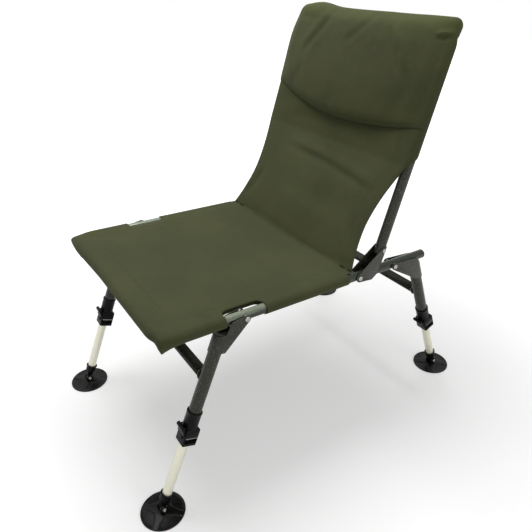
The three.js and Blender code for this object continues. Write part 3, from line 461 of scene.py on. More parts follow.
def oliveCloth(name, mapped):
    look = {
        "base": colour(84, 87, 58), "warm": colour(90, 94, 53), "deep": colour(77, 80, 55),
        "paintedTopHighlight": colour(101, 112, 58), "thread": colour(70, 73, 50), "yarns": 1500.0,
        "gaps": (0.012, 0.013, 0.007, 1.0), "seamDentShade": (0.02, 0.022, 0.012, 1.0), "sheen": (0.75, 0.8, 0.6, 1.0),
        "seams": (("tunnelSeam", 0.0012), ("joinSeam", 0.004), ("hemSeam", 0.008)),
    }
    board = newMaterial(name)
    place = board.place()
    if mapped:
        flat = board.node("UVMap", uv_map="clothMap").outputs["UV"]
    else:  # the pad's weave lies in the plane of the back
        lay = (-math.radians(90 - chair["recline"] - chair["tilt"]), 0, 0)
        flat = board.node("Mapping", {"Vector": place, "Rotation": lay}).outputs["Vector"]
    yarn = board.group(weave, {"Cloth map": flat, "Yarns per metre": look["yarns"]})
    mottled = board.noise(place, 65.0, 3.0, 0.6)
    base = board.blend(board.ramp(board.noise(place, 7.0), 0.35, 0.68), look["deep"], look["base"])
    base = board.blend(board.ramp(mottled, 0.5, 0.8, 0.0, 0.4), base, look["warm"])
    # painted highlight: the cloth turns lighter and yellower towards the top of the back, where the top light falls
    height = board.plus(board.split(place)["Z"], board.times(board.noise(place, 14.0), 0.05))
    base = board.blend(board.ramp(height, 0.83, 0.9, 0.0, 0.22), base, look["paintedTopHighlight"])
    base = board.blend(board.times(board.minus(1.0, yarn["Shade"]), 0.3), base, look["gaps"])
    creases = board.bump(board.noise(place, 38.0, 4.0, 0.55), 0.35, 0.0016)
    if mapped:
        thread, dimple = 0.0, 0.0
        for seam, beside in look["seams"]:
            distance, run = (board.node("Attribute", attribute_name=seam + end).outputs["Fac"]
                             for end in ("", "Run"))
            row = board.group(stitchRow, {"Distance": distance, "Run": run, "Beside": beside})
            thread, dimple = board.larger(thread, row["Thread"]), board.larger(dimple, row["Dimple"])
        # painted shade: the cloth darkens a little in the dent beside each stitch row
        base = board.blend(board.times(dimple, 0.07), base, look["seamDentShade"])
        base = board.blend(board.times(thread, 0.4), base, look["thread"])
        creases = board.bump(board.minus(thread, board.times(dimple, 0.7)), 0.5, 0.0005, creases)
    board.put(board.shader, {"Sheen Weight": 0.05, "Sheen Roughness": 0.45, "Sheen Tint": look["sheen"]})
    rough = board.plus(board.times(mottled, 0.12), 0.78)
    return board.surface(base, rough, (yarn["Height"], 0.5, 0.00022, creases), shine=0.12)


def hammeredPaint():
    look = {"paint": colour(57, 57, 49), "fleck": colour(142, 142, 130), "pit": colour(16, 16, 13),
            "worn": colour(150, 150, 142), "dust": colour(130, 127, 115)}
    board = newMaterial("hammeredPaint")
    cells = board.node("TexVoronoi", {"Vector": board.place(), "Scale": 620.0, "Randomness": 1.0},
                       feature="SMOOTH_F1").outputs["Distance"]
    grain = board.group(surfaceGrain, {"Grain": 900.0, "Patches": 24.0})
    worn = board.group(edgeWear, {"Reach": 0.0009, "Amount": 0.55})["Worn"]
    dust = board.group(restingDust, {"Amount": 0.12})["Dust"]
    base = board.blend(board.times(board.ramp(cells, 0.34, 0.08), 0.75), look["paint"], look["fleck"])
    base = board.blend(board.times(board.ramp(grain["Fine"], 0.46, 0.36), 0.85), base, look["pit"])
    base = board.blend(dust, board.blend(worn, base, look["worn"]), look["dust"])
    rough = board.plus(0.26, board.times(grain["Broad"], 0.16))
    metallic = board.times(board.ramp(cells, 0.5, 0.0), 0.25)
    return board.surface(base, rough, (board.minus(1.0, cells), 0.7, 0.0004), metallic, 0.22)


def railPaint():
    # a painted highlight: the rail's crown is painted brighter in front, where the front brackets swing, as if lit from
    # above
    look = {"paint": (colour(40, 45, 38), colour(72, 78, 68)), "paintedCrownHighlight": (colour(98, 108, 89), colour(156, 164, 145)),
            "worn": colour(165, 165, 156)}
    board = newMaterial("railPaint")
    lay = {"Vector": board.place(), "Location": millimetres(0, chair["footMiddle"], -chair["railHeight"])}
    level = {"Vector": board.node("Mapping", lay).outputs["Vector"], "Angle": math.radians(chair["tilt"])}
    along = board.split(board.node("VectorRotate", level, rotation_type="X_AXIS").outputs["Vector"])
    grain = board.group(surfaceGrain, {"Grain": 1300.0, "Patches": 20.0})
    speckle = board.ramp(grain["Fine"], 0.35, 0.65)
    # painted highlight band along the top of the rail, at the front only
    crown = board.times(board.ramp(along["Z"], 0.0035, 0.0095), board.ramp(along["Y"], 0.075, 0.06))
    base = board.blend(crown, *(board.blend(speckle, *look[tone]) for tone in ("paint", "paintedCrownHighlight")))
    base = board.blend(board.group(edgeWear, {"Reach": 0.0009, "Amount": 0.5})["Worn"], base, look["worn"])
    rough = board.ramp(grain["Broad"], 0.3, 0.7, 0.18, 0.26)
    return board.surface(base, rough, (grain["Fine"], 0.12, 0.0001), 0.4, 0.3)


def satinAluminium():
    board = newMaterial("satinAluminium")
    stretched = {"Vector": board.place(), "Scale": (900.0, 900.0, 26.0)}
    drawn = board.noise(board.node("Mapping", stretched).outputs["Vector"], 1.0, 3.0)
    grain = board.group(surfaceGrain, {"Grain": 700.0, "Patches": 30.0})
    base = board.blend(board.ramp(drawn, 0.3, 0.7), colour(236, 234, 212), colour(249, 247, 230))
    base = board.blend(board.ramp(grain["Broad"], 0.55, 0.75, 0.0, 0.25), base, colour(205, 203, 184))
    return board.surface(base, board.ramp(drawn, 0.3, 0.7, 0.36, 0.46), (drawn, 0.12, 0.0001), 0.5)


def zincSteel(name, tone, gloss):
    board = newMaterial(name)
    grain = board.group(surfaceGrain, {"Grain": 1100.0, "Patches": 90.0})
    base = board.blend(grain["Broad"], colour(*(value * 0.86 for value in tone)), colour(*tone))
    rough = board.ramp(grain["Broad"], 0.3, 0.7, gloss, gloss + 0.12)
    return board.surface(base, rough, (grain["Fine"], 0.15, 0.00008), 1.0)


def mouldedPlastic(name, tone, rough, grainDepth, shine):
    board = newMaterial(name)
    grain = board.group(surfaceGrain, {"Grain": 1600.0, "Patches": 26.0})
    worn = board.group(edgeWear, {"Reach": 0.0007, "Amount": 0.45})["Worn"]
    dust = board.group(restingDust, {"Amount": 0.1})["Dust"]
    base = board.blend(board.ramp(grain["Broad"], 0.3, 0.75), colour(*tone), colour(*(value * 1.25 for value in tone)))
    base = board.blend(worn, base, colour(*(value * 2.1 for value in tone)))
    base = board.blend(dust, base, colour(96, 95, 86))
    rough = board.ramp(grain["Broad"], 0.25, 0.75, rough - 0.06, rough + 0.08)
    return board.surface(base, rough, (grain["Fine"], grainDepth, 0.0002), shine=shine)


coverCloth, padCloth = oliveCloth("oliveCoverCloth", True), oliveCloth("olivePadCloth", False)
hammered, paintedRail, aluminium = hammeredPaint(), railPaint(), satinAluminium()
brightSteel = zincSteel("brightZincSteel", (178, 177, 168), 0.2)
blackSpring = zincSteel("blackenedSpringSteel", (88, 88, 86), 0.3)
blackPlastic = mouldedPlastic("blackMouldedPlastic", (10, 11, 11), 0.34, 0.25, 0.1)
capPlastic = mouldedPlastic("darkGreenGreyCap", (40, 44, 38), 0.42, 0.2, 0.16)
footPlastic = mouldedPlastic("glossyFootPlastic", (11, 15, 13), 0.3, 0.12, 0.16)
print("materials made")


# Seat rail: one tube bent twice, with a rounded cap in each open end
cornerX = chair["half"] - chair["railCorner"]
cornerY = chair["railFront"] + chair["railCorner"]
straight = chair["railRear"] - cornerY
seatRail = bentFrame("bentSeatRail", chair["railRadius"], (-chair["half"], chair["railRear"], 0),
                     (math.pi / 2, 0, 0), (0, -straight, 0), (cornerX, cornerY, 0), (0, 0, 1), (0, straight, 0))
settle(seatRail, railPlace)
give(seatRail, paintedRail, "seat_frame", "rail_paint", "seat_rail")

capRings = [(8.2, -12), (8.2, 0.2), (10, 0.2), (10, 2.2), (9.4, 2.9), (7.6, 3.3), (4, 3.6)]
cap = ringStack("endCap", capRings)
closeUp(cap, 0.3)
settle(cap, turnX(-90))
onBothSides(cap, "railEndCap", railPlace @ shift(0, chair["railRear"], 0), capPlastic,
            "seat_frame", "rail_paint", "rail_cap_{}")

# Rivets and pins: flange is half of what they hold together, and a shoulder of (radius, start) stands
# beside the rail where two parts turn. The rolled rim stands round a sunken centre, as on a
# semi-tubular rivet; its shares are of the head's radius and the crown's height.
rivets = {
    "pivot": {"shank": 4, "shoulder": (6.5, 10.3), "head": 5.4, "crown": 2.1},
    "post": {"shank": 2.5, "shoulder": None, "head": 4.6, "crown": 1.6},
    "foot": {"shank": 2.6, "shoulder": None, "head": 4.4, "crown": 1.5},
    "play": 0.3, "seat": 1.75, "sides": 28, "postRise": 50.5,
    "rim": ((0.94, 0), (1, 0.16), (0.98, 0.5), (0.88, 0.84), (0.74, 1), (0.6, 0.92), (0.5, 0.6), (0.44, 0.1),
            (0.3, -0.1)),
}


def rivet(name, kind, flange):
    size = rivets[kind]
    inner, outer = flange - rivets["play"], flange + rivets["seat"]
    half = [(size["shank"], 0.0)]
    if size["shoulder"]:
        radius, start = size["shoulder"]
        half += [(size["shank"], start), (radius, start), (radius, inner)]
    half += [(size["shank"], inner), (size["shank"], outer)]
    half += [(size["head"] * share, outer + size["crown"] * rise) for share, rise in rivets["rim"]]
    whole = [(radius, -height) for radius, height in reversed(half[1:])] + half
    piece = ringStack(name, whole, rivets["sides"])
    closeUp(piece, 0.12, 1, 50)
    settle(piece, turnY(90))
    return piece


for name, reach, flange in (("front", 0, 12.8), ("back", chair["backPivot"], 11.3),
                            ("rear", legPairs["rear"]["pivot"], 12.8)):
    onBothSides(rivet(name, "pivot", flange), name + "PivotRivet", railPlace @ shift(0, reach, 0), brightSteel,
                "seat_frame", "steel", name + "_pivot_rivet_{}")
onBothSides(rivet("post", "post", 11.3), "postRivet", backPlace @ shift(0, 0, rivets["postRise"]), brightSteel,
            "back", "steel", "post_rivet_{}")
print("seat rail, caps and rivets made")


# Back frame: an inverted U whose posts lean in a little towards the top
def postX(height):
    return chair["half"] - chair["taper"] * (height - chair["postFoot"]) / (chair["backTop"] - chair["postFoot"])


bendFoot = chair["backTop"] - chair["backCorner"]
bendX = postX(bendFoot) - chair["backCorner"]
leanIn, postRun = chair["half"] - postX(bendFoot), bendFoot - chair["postFoot"]
backFrame = bentFrame("bentBackFrame", chair["postRadius"], (-chair["half"], 0, chair["postFoot"]), (0, 0, 0),
                      (leanIn, 0, postRun), (bendX, 0, bendFoot), (0, 1, 0), (leanIn, 0, -postRun))
settle(backFrame, backPlace)
give(backFrame, hammered, "back", "hammertone", "back_frame")
for side in sides:
    bracket = dressed("back_bracket_" + side.lower(), "pressedBackBracket" + side, 0.45)
    give(bracket, hammered, "back", "hammertone", "back_bracket_" + side.lower())
print("back frame made")


# Legs: two outer tubes welded to a crossbar, pressed brackets and plugs at the top, a lock at the foot
legs = {
    "bar": 11, "barDrop": 116, "barInset": 3, "cope": 11.7, "sides": 40, "railGap": 3.1, "topGap": 2,
    "weldReach": 4.2, "weldRise": 2.3, "weldSteps": 6, "ripples": 21, "rippleRise": 0.22,
}
lock = {
    "sleeve": 34.5, "sleeveWall": 2.3, "rim": 2.9, "rimHeight": 4, "height": 38, "half": 15.5,
    "front": 13.2, "rear": 17, "round": 3.2,
    "windowHigh": 18.5, "windowLow": 30, "windowFront": 11.2, "windowRear": 16.3,
    "tongueHalf": 5.3, "slitLow": 21.3, "guideRadius": 10.9, "guideDrop": 23, "through": 40,
    "earX": (10.4, 12.9), "earZ": (-13.8, -8.2), "earRear": -9,
    "pinRadius": 1.65, "pinIn": 10.7, "pinReach": 11.8, "pinDrop": 11,
    "plateGrow": 1.17, "lipBox": (-12, -9, 20), "tabHalf": 12.4, "tabRound": 1.3,
    # the lever's rounded tab, as (reach, height above the box)
    "tab": [(-13.8, -14.5), (-13.8, -9), (-14.4, -6), (-15.5, -2.8), (-16.5, 0.5), (-16.8, 3.4), (-17.7, 4.9),
            (-19.4, 4.9), (-21.6, 3.9), (-23.1, 2.2), (-23.5, 0.5), (-23, -1.2), (-21.7, -3), (-19.8, -5),
            (-18, -7.6), (-16.6, -10.6), (-16, -14.5)],
    "springReach": 13.4, "springEnds": (-29.1, -21.3), "coil": 1.8, "wire": 0.5, "turns": 3,
}
inner = {"insert": 110, "play": 0.3, "clear": 60}
cup = {
    "rise": 35, "depth": 14, "rim": 13.4, "radius": 11.8, "flare": 7, "floor": 4, "bore": 9.95,
    "tongueHalf": 4.5, "tongueRadius": 6.6, "pinHole": 2.9, "pinFlange": 8.6,
}
foot = {
    "radius": 45, "rim": 3.0, "hub": 6.6, "ribs": 4, "sectors": 176, "edge": 2.0, "skirt": 0.9,
    "near": 4.8, "ear": 5.2, "earRadius": 8, "earRound": 0.7,
    "rings": [45, 44.3, 43.2, 41.4, 39, 36.5, 34, 31.5, 29, 27, 25, 23, 21, 19, 17, 15, 12, 9, 4],
    "ribHalf": [(0, 45), (15, 13), (18, 11.2), (22, 9.2), (28, 7.4), (36, 6.2), (45, 5.6)],
    "ribRise": [(0, 1), (9, 1), (15, 0.95), (22, 0.76), (31, 0.52), (39, 0.34), (43.5, 0.2), (45, 0)],
    "fieldRise": [(0, 1), (9, 1), (13, 0.9), (17, 0.5), (21, 0.16), (27, -0.06), (36, -0.14), (42, -0.08),
                  (43.5, 0.1), (45, 0)],
}


def plug(name, radius, low, high, count=40):
    piece = ringStack(name, [(radius, low), (radius, high)], count)
    closeUp(piece)
    return piece


def weldBead(name, sign):
    # a fillet of weld round the crossbar's end, with the ripples of its run
    start = chair["half"] - chair["legRadius"] - legs["weldReach"]
    rings = []
    for step in range(legs["weldSteps"] + 1):
        share = step / legs["weldSteps"]
        rings.append((legs["bar"] + 0.05 + legs["weldRise"] * share ** 2.2, start + legs["weldReach"] * share + 1.2))
    bead = ringStack(name, rings, 3 * legs["ripples"])
    for vertex in bead.data.vertices:
        angle = math.atan2(vertex.co.y, vertex.co.x)
        depth = (vertex.co.z / mm - start) / legs["weldReach"]
        swell = legs["rippleRise"] * math.sin(legs["ripples"] * angle + 2 * depth) * held(depth) * mm
        vertex.co.x += swell * math.cos(angle)
        vertex.co.y += swell * math.sin(angle)
    closeUp(bead, smooth=60)
    settle(bead, shift(0, 0, -legs["barDrop"]) @ turnY(90 * sign))
    return bead


def weldedLegFrame(key, pair):
    under = (chair["railRadius"] + legs["railGap"]) / math.cos(pair["railLean"])
    top = -(under + chair["legRadius"] * abs(math.tan(pair["railLean"])) + legs["topGap"])
    low = -(pair["sleeve"] + lock["sleeve"]) + 0.3
    parts = []
    for side, sign in sides.items():
        parts.append(drawnTube(key + "Tube" + side, chair["legRadius"], (sign * chair["half"], 0, top), (0, 0, 0),
                               [(0, 0, low - top)], chair["legWall"], legs["sides"]))
        parts.append(weldBead(key + "Weld" + side, sign))
    barHalf = chair["half"] - legs["barInset"]
    bar = drawnTube(key + "WeldedLegs", legs["bar"], (-barHalf, 0, -legs["barDrop"]), (0, math.pi / 2, 0),
                    [(2 * barHalf, 0, 0)], chair["wall"], legs["sides"])
    for sign in sides.values():  # the bar's ends are coped to sit against the leg tubes
        cope = ringStack("cope", [(legs["cope"], -20), (legs["cope"], 20)], 48)
        settle(cope, shift(sign * chair["half"], 0, -legs["barDrop"]))
        closeUp(cope)
        combine(bar, cope)
    pick(bar)
    for part in parts:
        part.select_set(True)
    bpy.ops.object.join()
    return bar


def lockHousing(top):
    # a sleeve that runs into a rounded box; window, slit, pin holes and bores are cut afterwards
    sleeve, rim = chair["legRadius"] + lock["sleeveWall"], chair["legRadius"] + lock["rim"]
    socket, bore = chair["legRadius"] + 0.2, chair["innerRadius"] + inner["play"]
    high, floor, through = top + lock["sleeve"], top - lock["height"], lock["through"]
    body = box("lockBox", (-lock["half"], -lock["front"], floor), (lock["half"], lock["rear"], top))
    closeUp(body, lock["round"], 4)
    collar = ringStack("lockSleeve", [
        (sleeve - 1.6, top - 5), (sleeve + 0.2, top - 0.2), (sleeve + 0.1, top + 1.2), (sleeve, top + 3),
        (sleeve, high - lock["rimHeight"]), (rim, high - lock["rimHeight"] + 1), (rim, high - 0.6), (rim - 0.6, high),
    ], 48)
    closeUp(collar)
    combine(body, collar, "UNION")
    window = box("window", (-through, -lock["windowFront"], top - lock["windowLow"]),
                 (through, lock["windowRear"], top - lock["windowHigh"]))
    slit = box("slit", (-lock["tongueHalf"], -through, top - lock["slitLow"]),
               (lock["tongueHalf"], 0, top - lock["windowHigh"]))
    closeUp(window)
    closeUp(slit)
    for tool in (plug("socket", socket, top, high + 9, 48), plug("bore", bore, top - inner["clear"], top + 9),
                 window, slit):
        combine(body, tool)
    for sign in (-1, 1):
        low, high = sorted(sign * x for x in lock["earX"])
        ear = box("earSlot", (low, -through, top + lock["earZ"][0]), (high, lock["earRear"], top + lock["earZ"][1]))
        combine(body, ear)
        low, high = sorted((sign * lock["pinIn"], sign * through))
        combine(body, crossRod("pinHole", lock["pinRadius"], low, high, -lock["pinReach"], top - lock["pinDrop"], 20))
    guide = plug("guide", lock["guideRadius"], floor + 2, top - lock["guideDrop"])
    combine(guide, plug("guideBore", bore, top - inner["clear"], top))
    combine(body, guide, "UNION")
    closeUp(body, 0.3)
    return body


def thumbTab(top):
    # the tab's outline in the lever's swing, drawn across and rounded all over
    clearSelection()
    bpy.ops.mesh.primitive_circle_add(vertices=len(lock["tab"]), radius=mm, fill_type="NGON")
    tab = newest("thumbTab")
    for vertex, (y, z) in zip(tab.data.vertices, lock["tab"]):
        vertex.co = millimetres(-lock["tabHalf"], y, top + z)
    editAll()
    extrude(2 * lock["tabHalf"], 0, 0)
    objectMode()
    closeUp(tab, lock["tabRound"], 3)
    return tab


def returnSpring(top):
    # a small closed coil, wound by the screw tool from one round of wire
    low, high = (top + end for end in lock["springEnds"])
    clearSelection()
    bpy.ops.mesh.primitive_circle_add(vertices=10, radius=lock["wire"] * mm, rotation=(math.pi / 2, 0, 0),
                                      location=millimetres(lock["coil"], 0, low))
    coil = newest("returnSpring")
    modify(coil, "SCREW", angle=2 * math.pi * lock["turns"], screw_offset=(high - low) * mm, axis="Z",
           steps=18 * lock["turns"], render_steps=18 * lock["turns"], use_smooth_shade=True,
           use_merge_vertices=False)
    closeUp(coil)
    settle(coil, shift(0, lock["springReach"], 0))
    return coil


def innerTube(length, top):
    low = -length + cup["rise"] - cup["depth"] + 0.4
    high = top - lock["height"] + inner["insert"]
    return drawnTube("innerTube", chair["innerRadius"], (0, 0, low), (0, 0, 0), [(0, 0, high - low)],
                     chair["wall"], legs["sides"])


def footCup(length):
    rim, radius, half = -length + cup["rise"], cup["radius"], cup["tongueHalf"]
    floor = rim - cup["depth"]
    body = ringStack("footCup", [
        (radius - 3, floor - cup["floor"]), (radius - 1.2, floor - cup["floor"] + 0.8), (radius, floor),
        (radius, rim - cup["flare"]), (radius + 0.5, rim - 4), (cup["rim"] - 0.3, rim - 1.2),
        (cup["rim"], rim - 0.6), (cup["rim"] - 0.4, rim), (cup["bore"], rim), (cup["bore"], floor),
    ], 44)
    closeUp(body)
    bar = box("tongueBar", (-half, -cup["tongueRadius"], -length), (half, cup["tongueRadius"], floor - 1))
    combine(bar, crossRod("tongueEnd", cup["tongueRadius"], -half, half, 0, -length, 36), "UNION")
    combine(body, bar, "UNION")
    combine(body, crossRod("pinHole", cup["pinHole"], -20, 20, 0, -length, 24))
    closeUp(body, 0.35)
    return body


def mudFoot():
    # a round dish: four buttress ribs flare into its hub, with a sunk field between each two
    rim = foot["rim"]
    rings = [(foot["radius"] - 0.8, 0), (foot["radius"], 0.8)]
    rings += [(reach, rim + index * 0.01) for index, reach in enumerate(foot["rings"])]
    dish = ringStack("mudFoot", rings, foot["sectors"])
    for vertex in dish.data.vertices:
        x, y, height = vertex.co / mm
        if height < rim - 0.5:
            continue
        reach, spacing = math.hypot(x, y), math.pi / foot["ribs"]
        angle = math.atan2(y, x) % (2 * spacing) - spacing
        aside = reach * abs(math.sin(angle))
        share = eased((between(foot["ribHalf"], reach) - aside) / foot["edge"] + 0.5)
        field = between(foot["fieldRise"], reach)
        rise = field + (between(foot["ribRise"], reach) - field) * share
        vertex.co.z = (rim - foot["skirt"] * (reach > foot["radius"] - 0.1) + (foot["hub"] - rim) * rise) * mm
    closeUp(dish, smooth=30)
    for sign in (-1, 1):
        low, high = sorted((sign * foot["near"], sign * (foot["near"] + foot["ear"])))
        block = box("earBlock", (low, -foot["earRadius"], 1.5), (high, foot["earRadius"], chair["footPin"]))
        combine(block, crossRod("earEnd", foot["earRadius"], low, high, 0, chair["footPin"], 40), "UNION")
        closeUp(block, foot["earRound"])
        combine(dish, block, "UNION")
    combine(dish, crossRod("pinHole", cup["pinHole"], -30, 30, 0, chair["footPin"], 24))
    closeUp(dish, smooth=30)
    return dish


for key, pair in legPairs.items():
    place, top = pair["place"], -(pair["sleeve"] + lock["sleeve"])
    frameBody, lockBody, innerBody = key + "_legs", key + "_lock_{}", key + "_inner_{}"
    legFrame = weldedLegFrame(key, pair)
    settle(legFrame, place)
    give(legFrame, hammered, frameBody, "hammertone", key + "_leg_frame")
    for side, sign in sides.items():
        middle = sign * chair["half"]
        for node, name, material, slot, edge, body in (
            ("leg_bracket", "PressedBracket", hammered, "hammertone", 0.45, frameBody),
            ("leg_plug", "TubePlug", blackPlastic, "black_plastic", 0.4, frameBody),
            ("lock_lever", "ThumbLever", blackPlastic, "black_plastic", 0.5, lockBody),
            ("lock_plate", "LockPlate", brightSteel, "steel", 0.18, lockBody),
        ):
            source = "_".join((key, node, side.lower()))
            piece = dressed(source, key + name + side, edge)
            if node == "lock_lever":  # the thin lip gives way to the tab
                rear, low, high = lock["lipBox"]
                lip = box("thinLip", (-40, -40, top + low), (40, rear, top + high))
                for tool, operation in ((lip, "DIFFERENCE"), (thumbTab(top), "UNION")):
                    settle(tool, place @ shift(middle, 0, 0))
                    combine(piece, tool, operation)
                closeUp(piece)
            elif node == "lock_plate":  # the plate's ends stand out to the window's openings
                pick(piece)
                editAll()
                bpy.ops.transform.resize(value=(lock["plateGrow"], 1, 1), center_override=millimetres(middle, 0, 0))
                objectMode()
            give(piece, material, body.format(side.lower()), slot, source)
    pin = rivet("footPin", "foot", cup["pinFlange"])
    settle(pin, shift(0, 0, -pair["length"]))
    for pattern, name, material, body, slot, node in (
        (lockHousing(top), "LockHousing", blackPlastic, frameBody, "black_plastic", "lock_housing"),
        (returnSpring(top), "ReturnSpring", blackSpring, None, "steel", "lock_spring"),
        (innerTube(pair["length"], top), "InnerLeg", aluminium, innerBody, "aluminium", "inner_leg"),
        (footCup(pair["length"]), "FootCup", blackPlastic, innerBody, "black_plastic", "foot_socket"),
        (pin, "FootPin", brightSteel, innerBody, "steel", "foot_pin"),
    ):
        onBothSides(pattern, key + name, place, material, body, slot, "_".join((key, node, "{}")))
    onBothSides(mudFoot(), key + "MudFoot", shift(0, pair["foot"] - chair["footMiddle"], 0), footPlastic,
                key + "_foot_{}", "foot_rubber", key + "_foot_{}")
    for side, sign in sides.items():  # the coil's foot stays in the housing; its transform is baked into its mesh
        coil = bpy.data.objects[key + "ReturnSpring" + side]
        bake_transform(coil)
print("legs, locks and feet made")


# Cloth: one cover, sewn in tunnels round the rail and round the back frame, and free between them.
# A tube's columns are distances past its crown; under holds shares of the way from the tube to the seam.
cover = {
    "seat": {"radius": 11.7, "fold": 42, "seam": 5, "columns": [-42, -35, -28, -23, -18, -13, -8, -4, 0],
             "under": [0.24, 0.46, 0.65, 0.825, 1]},
    "back": {"radius": 12.7, "fold": 38, "seam": 5, "columns": [-38, -33, -28, -22, -16, -10, -4, 2, 6.6],
             "under": [0.33, 0.67, 1]},
    "rise": 2.4, "layerGap": 1.2, "cell": 6.4, "cornerSteps": 16, "arcSteps": 13, "thickness": 1.0,
    "panelEnd": 262, "tunnelEnd": 249, "sleeveFoot": 226, "panelColumns": 58,
    "cutFront": -40, "cutRear": 45, "cutIn": -18, "cutRound": 15, "cutEase": 12, "cutLeast": 0.5,
    "cutFine": [-52, -24, 29, 57], "fineCell": 3.2, "cutCell": 5.3, "lipFrom": -2, "lipRun": 12, "lipDrop": 1.5,
    "sag": 13, "endSag": 5, "sagRun": 0.6, "dropRun": 0.34, "bow": 10,
    "waist": 208, "waistHeight": 95, "rootHalf": 231, "lipHalf": 234.3, "rootCurve": 1.7, "lipCurve": 1.84,
    "slant": 26, "slantRun": 70, "slantColumns": 7, "fadeRun": 20,
    "slack": {"drop": 6, "out": 0.35, "from": -45, "run": 120, "turn": 2.2,
              "kink": 1.2, "kinkShare": 0.6, "kinkFrom": -160},
    "pockets": {
        -1: {"reach": 18.5, "droop": 4, "blunt": 1, "point": 1.6, "foreEnd": 1.4, "foreRun": 0.3},
        1: {"reach": 10, "droop": 15, "blunt": 1.6, "point": 1, "foreEnd": 0.76, "foreRun": 0.24},
    },
    "far": 1000, "joinFar": 500,  # distances that stand for a seam which is nowhere near
    "join": [  # where the seat is joined to the free cloth, as (across, reach)
        (-231, 256), (-221, 258), (-119, 272), (16, 268), (132, 265), (207, 272), (231, 266),
    ],
}
seatTube, backTube = cover["seat"], cover["back"]
# Columns of a tube's profile: its last flat one, the cut-out's edge above and below, and the arc's end
lastFlat, edgeColumn = 8, 3
arcEnd = lastFlat + cover["arcSteps"]
underEdge = arcEnd + 3

# Relief of the cloths. side and end are (limit, run) of the calm margin, ripples are (height, stretch, size,
# seed), folds are (line of points, width, depth, ridge, side) and bumps are (height, past the join, width).
relief = {
    "seat": {
        "side": (188, 60), "end": (119, 60), "ripples": [(1.1, 1.3, 95, 3), (0.5, 1, 34, 8)],
        "folds": [
            ([(176, -70), (193, -85), (214, -72), (235, -58)], 5, 1.6),
            ([(-150, -96), (-172, -84), (-196, -86)], 6, 1.2),
            ([(150, 64), (178, 40), (206, 27)], 7, 1.5),
            ([(-168, 70), (-184, 42), (-203, 28)], 7, 1.3),
            ([(-120, -60), (-40, -20), (60, -30), (130, -58)], 22, 1.6, 0.6),
            ([(-150, 190), (-60, 215), (50, 205), (150, 196)], 16, 1.8, 0.6, -1),
        ],
    },
    "join": {"bumps": [(1.7, -6, 4.5), (-2.3, 3, 4)], "side": (222, 34), "least": 0.25,
             "pucker": {"height": 1.3, "width": 18, "size": 16, "seed": 2}},
    "web": {
        "side": (205, 50), "ripples": [(1.6, 1.4, 80, 5), (0.6, 1, 30, 9)], "startRate": 8, "endRate": 7,
        "folds": [
            ([(-140, 186), (-125, 181), (31, 173), (167, 157), (186, 150)], 9, 3.4, 0.8, 1),
            ([(-170, 120), (-60, 96), (60, 92), (150, 104)], 26, 2.4, 0.4),
            ([(206, 20), (180, 58), (168, 96)], 9, 2.0),
            ([(-208, 22), (-186, 60), (-172, 110)], 10, 2.0),
        ],
    },
    "back": {
        "side": (190, 50), "end": (-226, 20), "ripples": [(1.4, 1.3, 80, 5), (0.5, 1, 30, 9)],
        "folds": [([(-206, 238), (-150, 252), (-60, 262), (60, 258), (160, 250)], 16, 1.8, 0.5)],
    },
    "pad": {
        "ripples": [(1.6, 1, 70, 11), (0.5, 1, 26, 6)],
        "folds": [
            ([(96, 474), (101, 467), (120, 440), (138, 420), (159, 384)], 9, 2.6, 0.9, 1),
            ([(-80, 494), (-85, 486), (-99, 458), (-128, 420), (-153, 391)], 10, 2.0, 0.8, -1),
            ([(52, 494), (43, 486), (12, 452), (-23, 425)], 10, 1.5, 0.6, -1),
            ([(208, 460), (226, 466), (250, 471)], 4.5, 3.4, 0.9, 1),
            ([(160, 300), (176, 330), (182, 372)], 14, 1.2, 0.5, 1),
            ([(-176, 318), (-150, 345), (-142, 372)], 14, 1.2, 0.5, 1),
        ],
    },
    "ridgeOff": 1.7, "ridgeSpread": 1.25, "endRate": 4.2, "endPower": 0.7,
}


def stops(points, step):
    # equal steps of about the given length between the points
    values = [points[0]]
    for low, high in zip(points, points[1:]):
        count = max(1, round(abs(high - low) / step))
        values += [low + (high - low) * (k + 1) / count for k in range(count)]
    return values


def flatUp(tube, out):
    # the cloth's level beside a tube, from its crown in to the sewn edge
    return tube["radius"] + cover["rise"] * out / tube["fold"]


def tunnelProfile(tube):
    # columns of (distance past the tube's crown, outwards, up), from the sewn edge round to the seam
    radius, profile = tube["radius"], []
    for past in tube["columns"]:
        turned = max(0, past) / radius
        profile.append((past, radius * math.sin(turned) if past > 0 else past,
                        radius * math.cos(turned) if past > 0 else flatUp(tube, past)))
    seamOut, seamUp = tube["seam"] - tube["fold"], tube["panel"] - cover["layerGap"]
    touch = math.atan2(seamUp, seamOut) + math.acos(radius / math.hypot(seamOut, seamUp)) - 2 * math.pi
    start = math.pi / 2 - max(0, tube["columns"][-1]) / radius
    for step in range(1, cover["arcSteps"] + 1):
        angle = start + (touch - start) * step / cover["arcSteps"]
        profile.append(((math.pi / 2 - angle) * radius, radius * math.cos(angle), radius * math.sin(angle)))
    past, out, up = profile[-1]
    for share in tube["under"]:
        profile.append((past + share * math.hypot(seamOut - out, seamUp - up),
                        out + (seamOut - out) * share, up + (seamUp - up) * share))
    return profile


def roundTheFrame(sideStops, sideX, centre, radius, acrossStops, turn):
    # stations up one side, round the corner, across and back along the other side
    half = [((-sideX(stop), stop), (-1, 0), 0) for stop in sideStops]
    for step in range(1, cover["cornerSteps"]):
        share = step / cover["cornerSteps"]
        angle = math.pi + turn * math.pi / 2 * share
        outward = (math.cos(angle), math.sin(angle))
        half.append(((-centre[0] + radius * outward[0], centre[1] + radius * outward[1]), outward, share))
    across = [((x, centre[1] - turn * radius), (0, -turn), 0) for x in acrossStops]
    other = [((-x, y), (-outX, outY), share) for (x, y), (outX, outY), share in reversed(half)]
    return half + across + other


def meshPiece(name, points, faces):
    mesh = bpy.data.meshes.new(name)
    mesh.from_pydata([tuple(point) for point in points], [], faces)
    return linked(name, mesh)


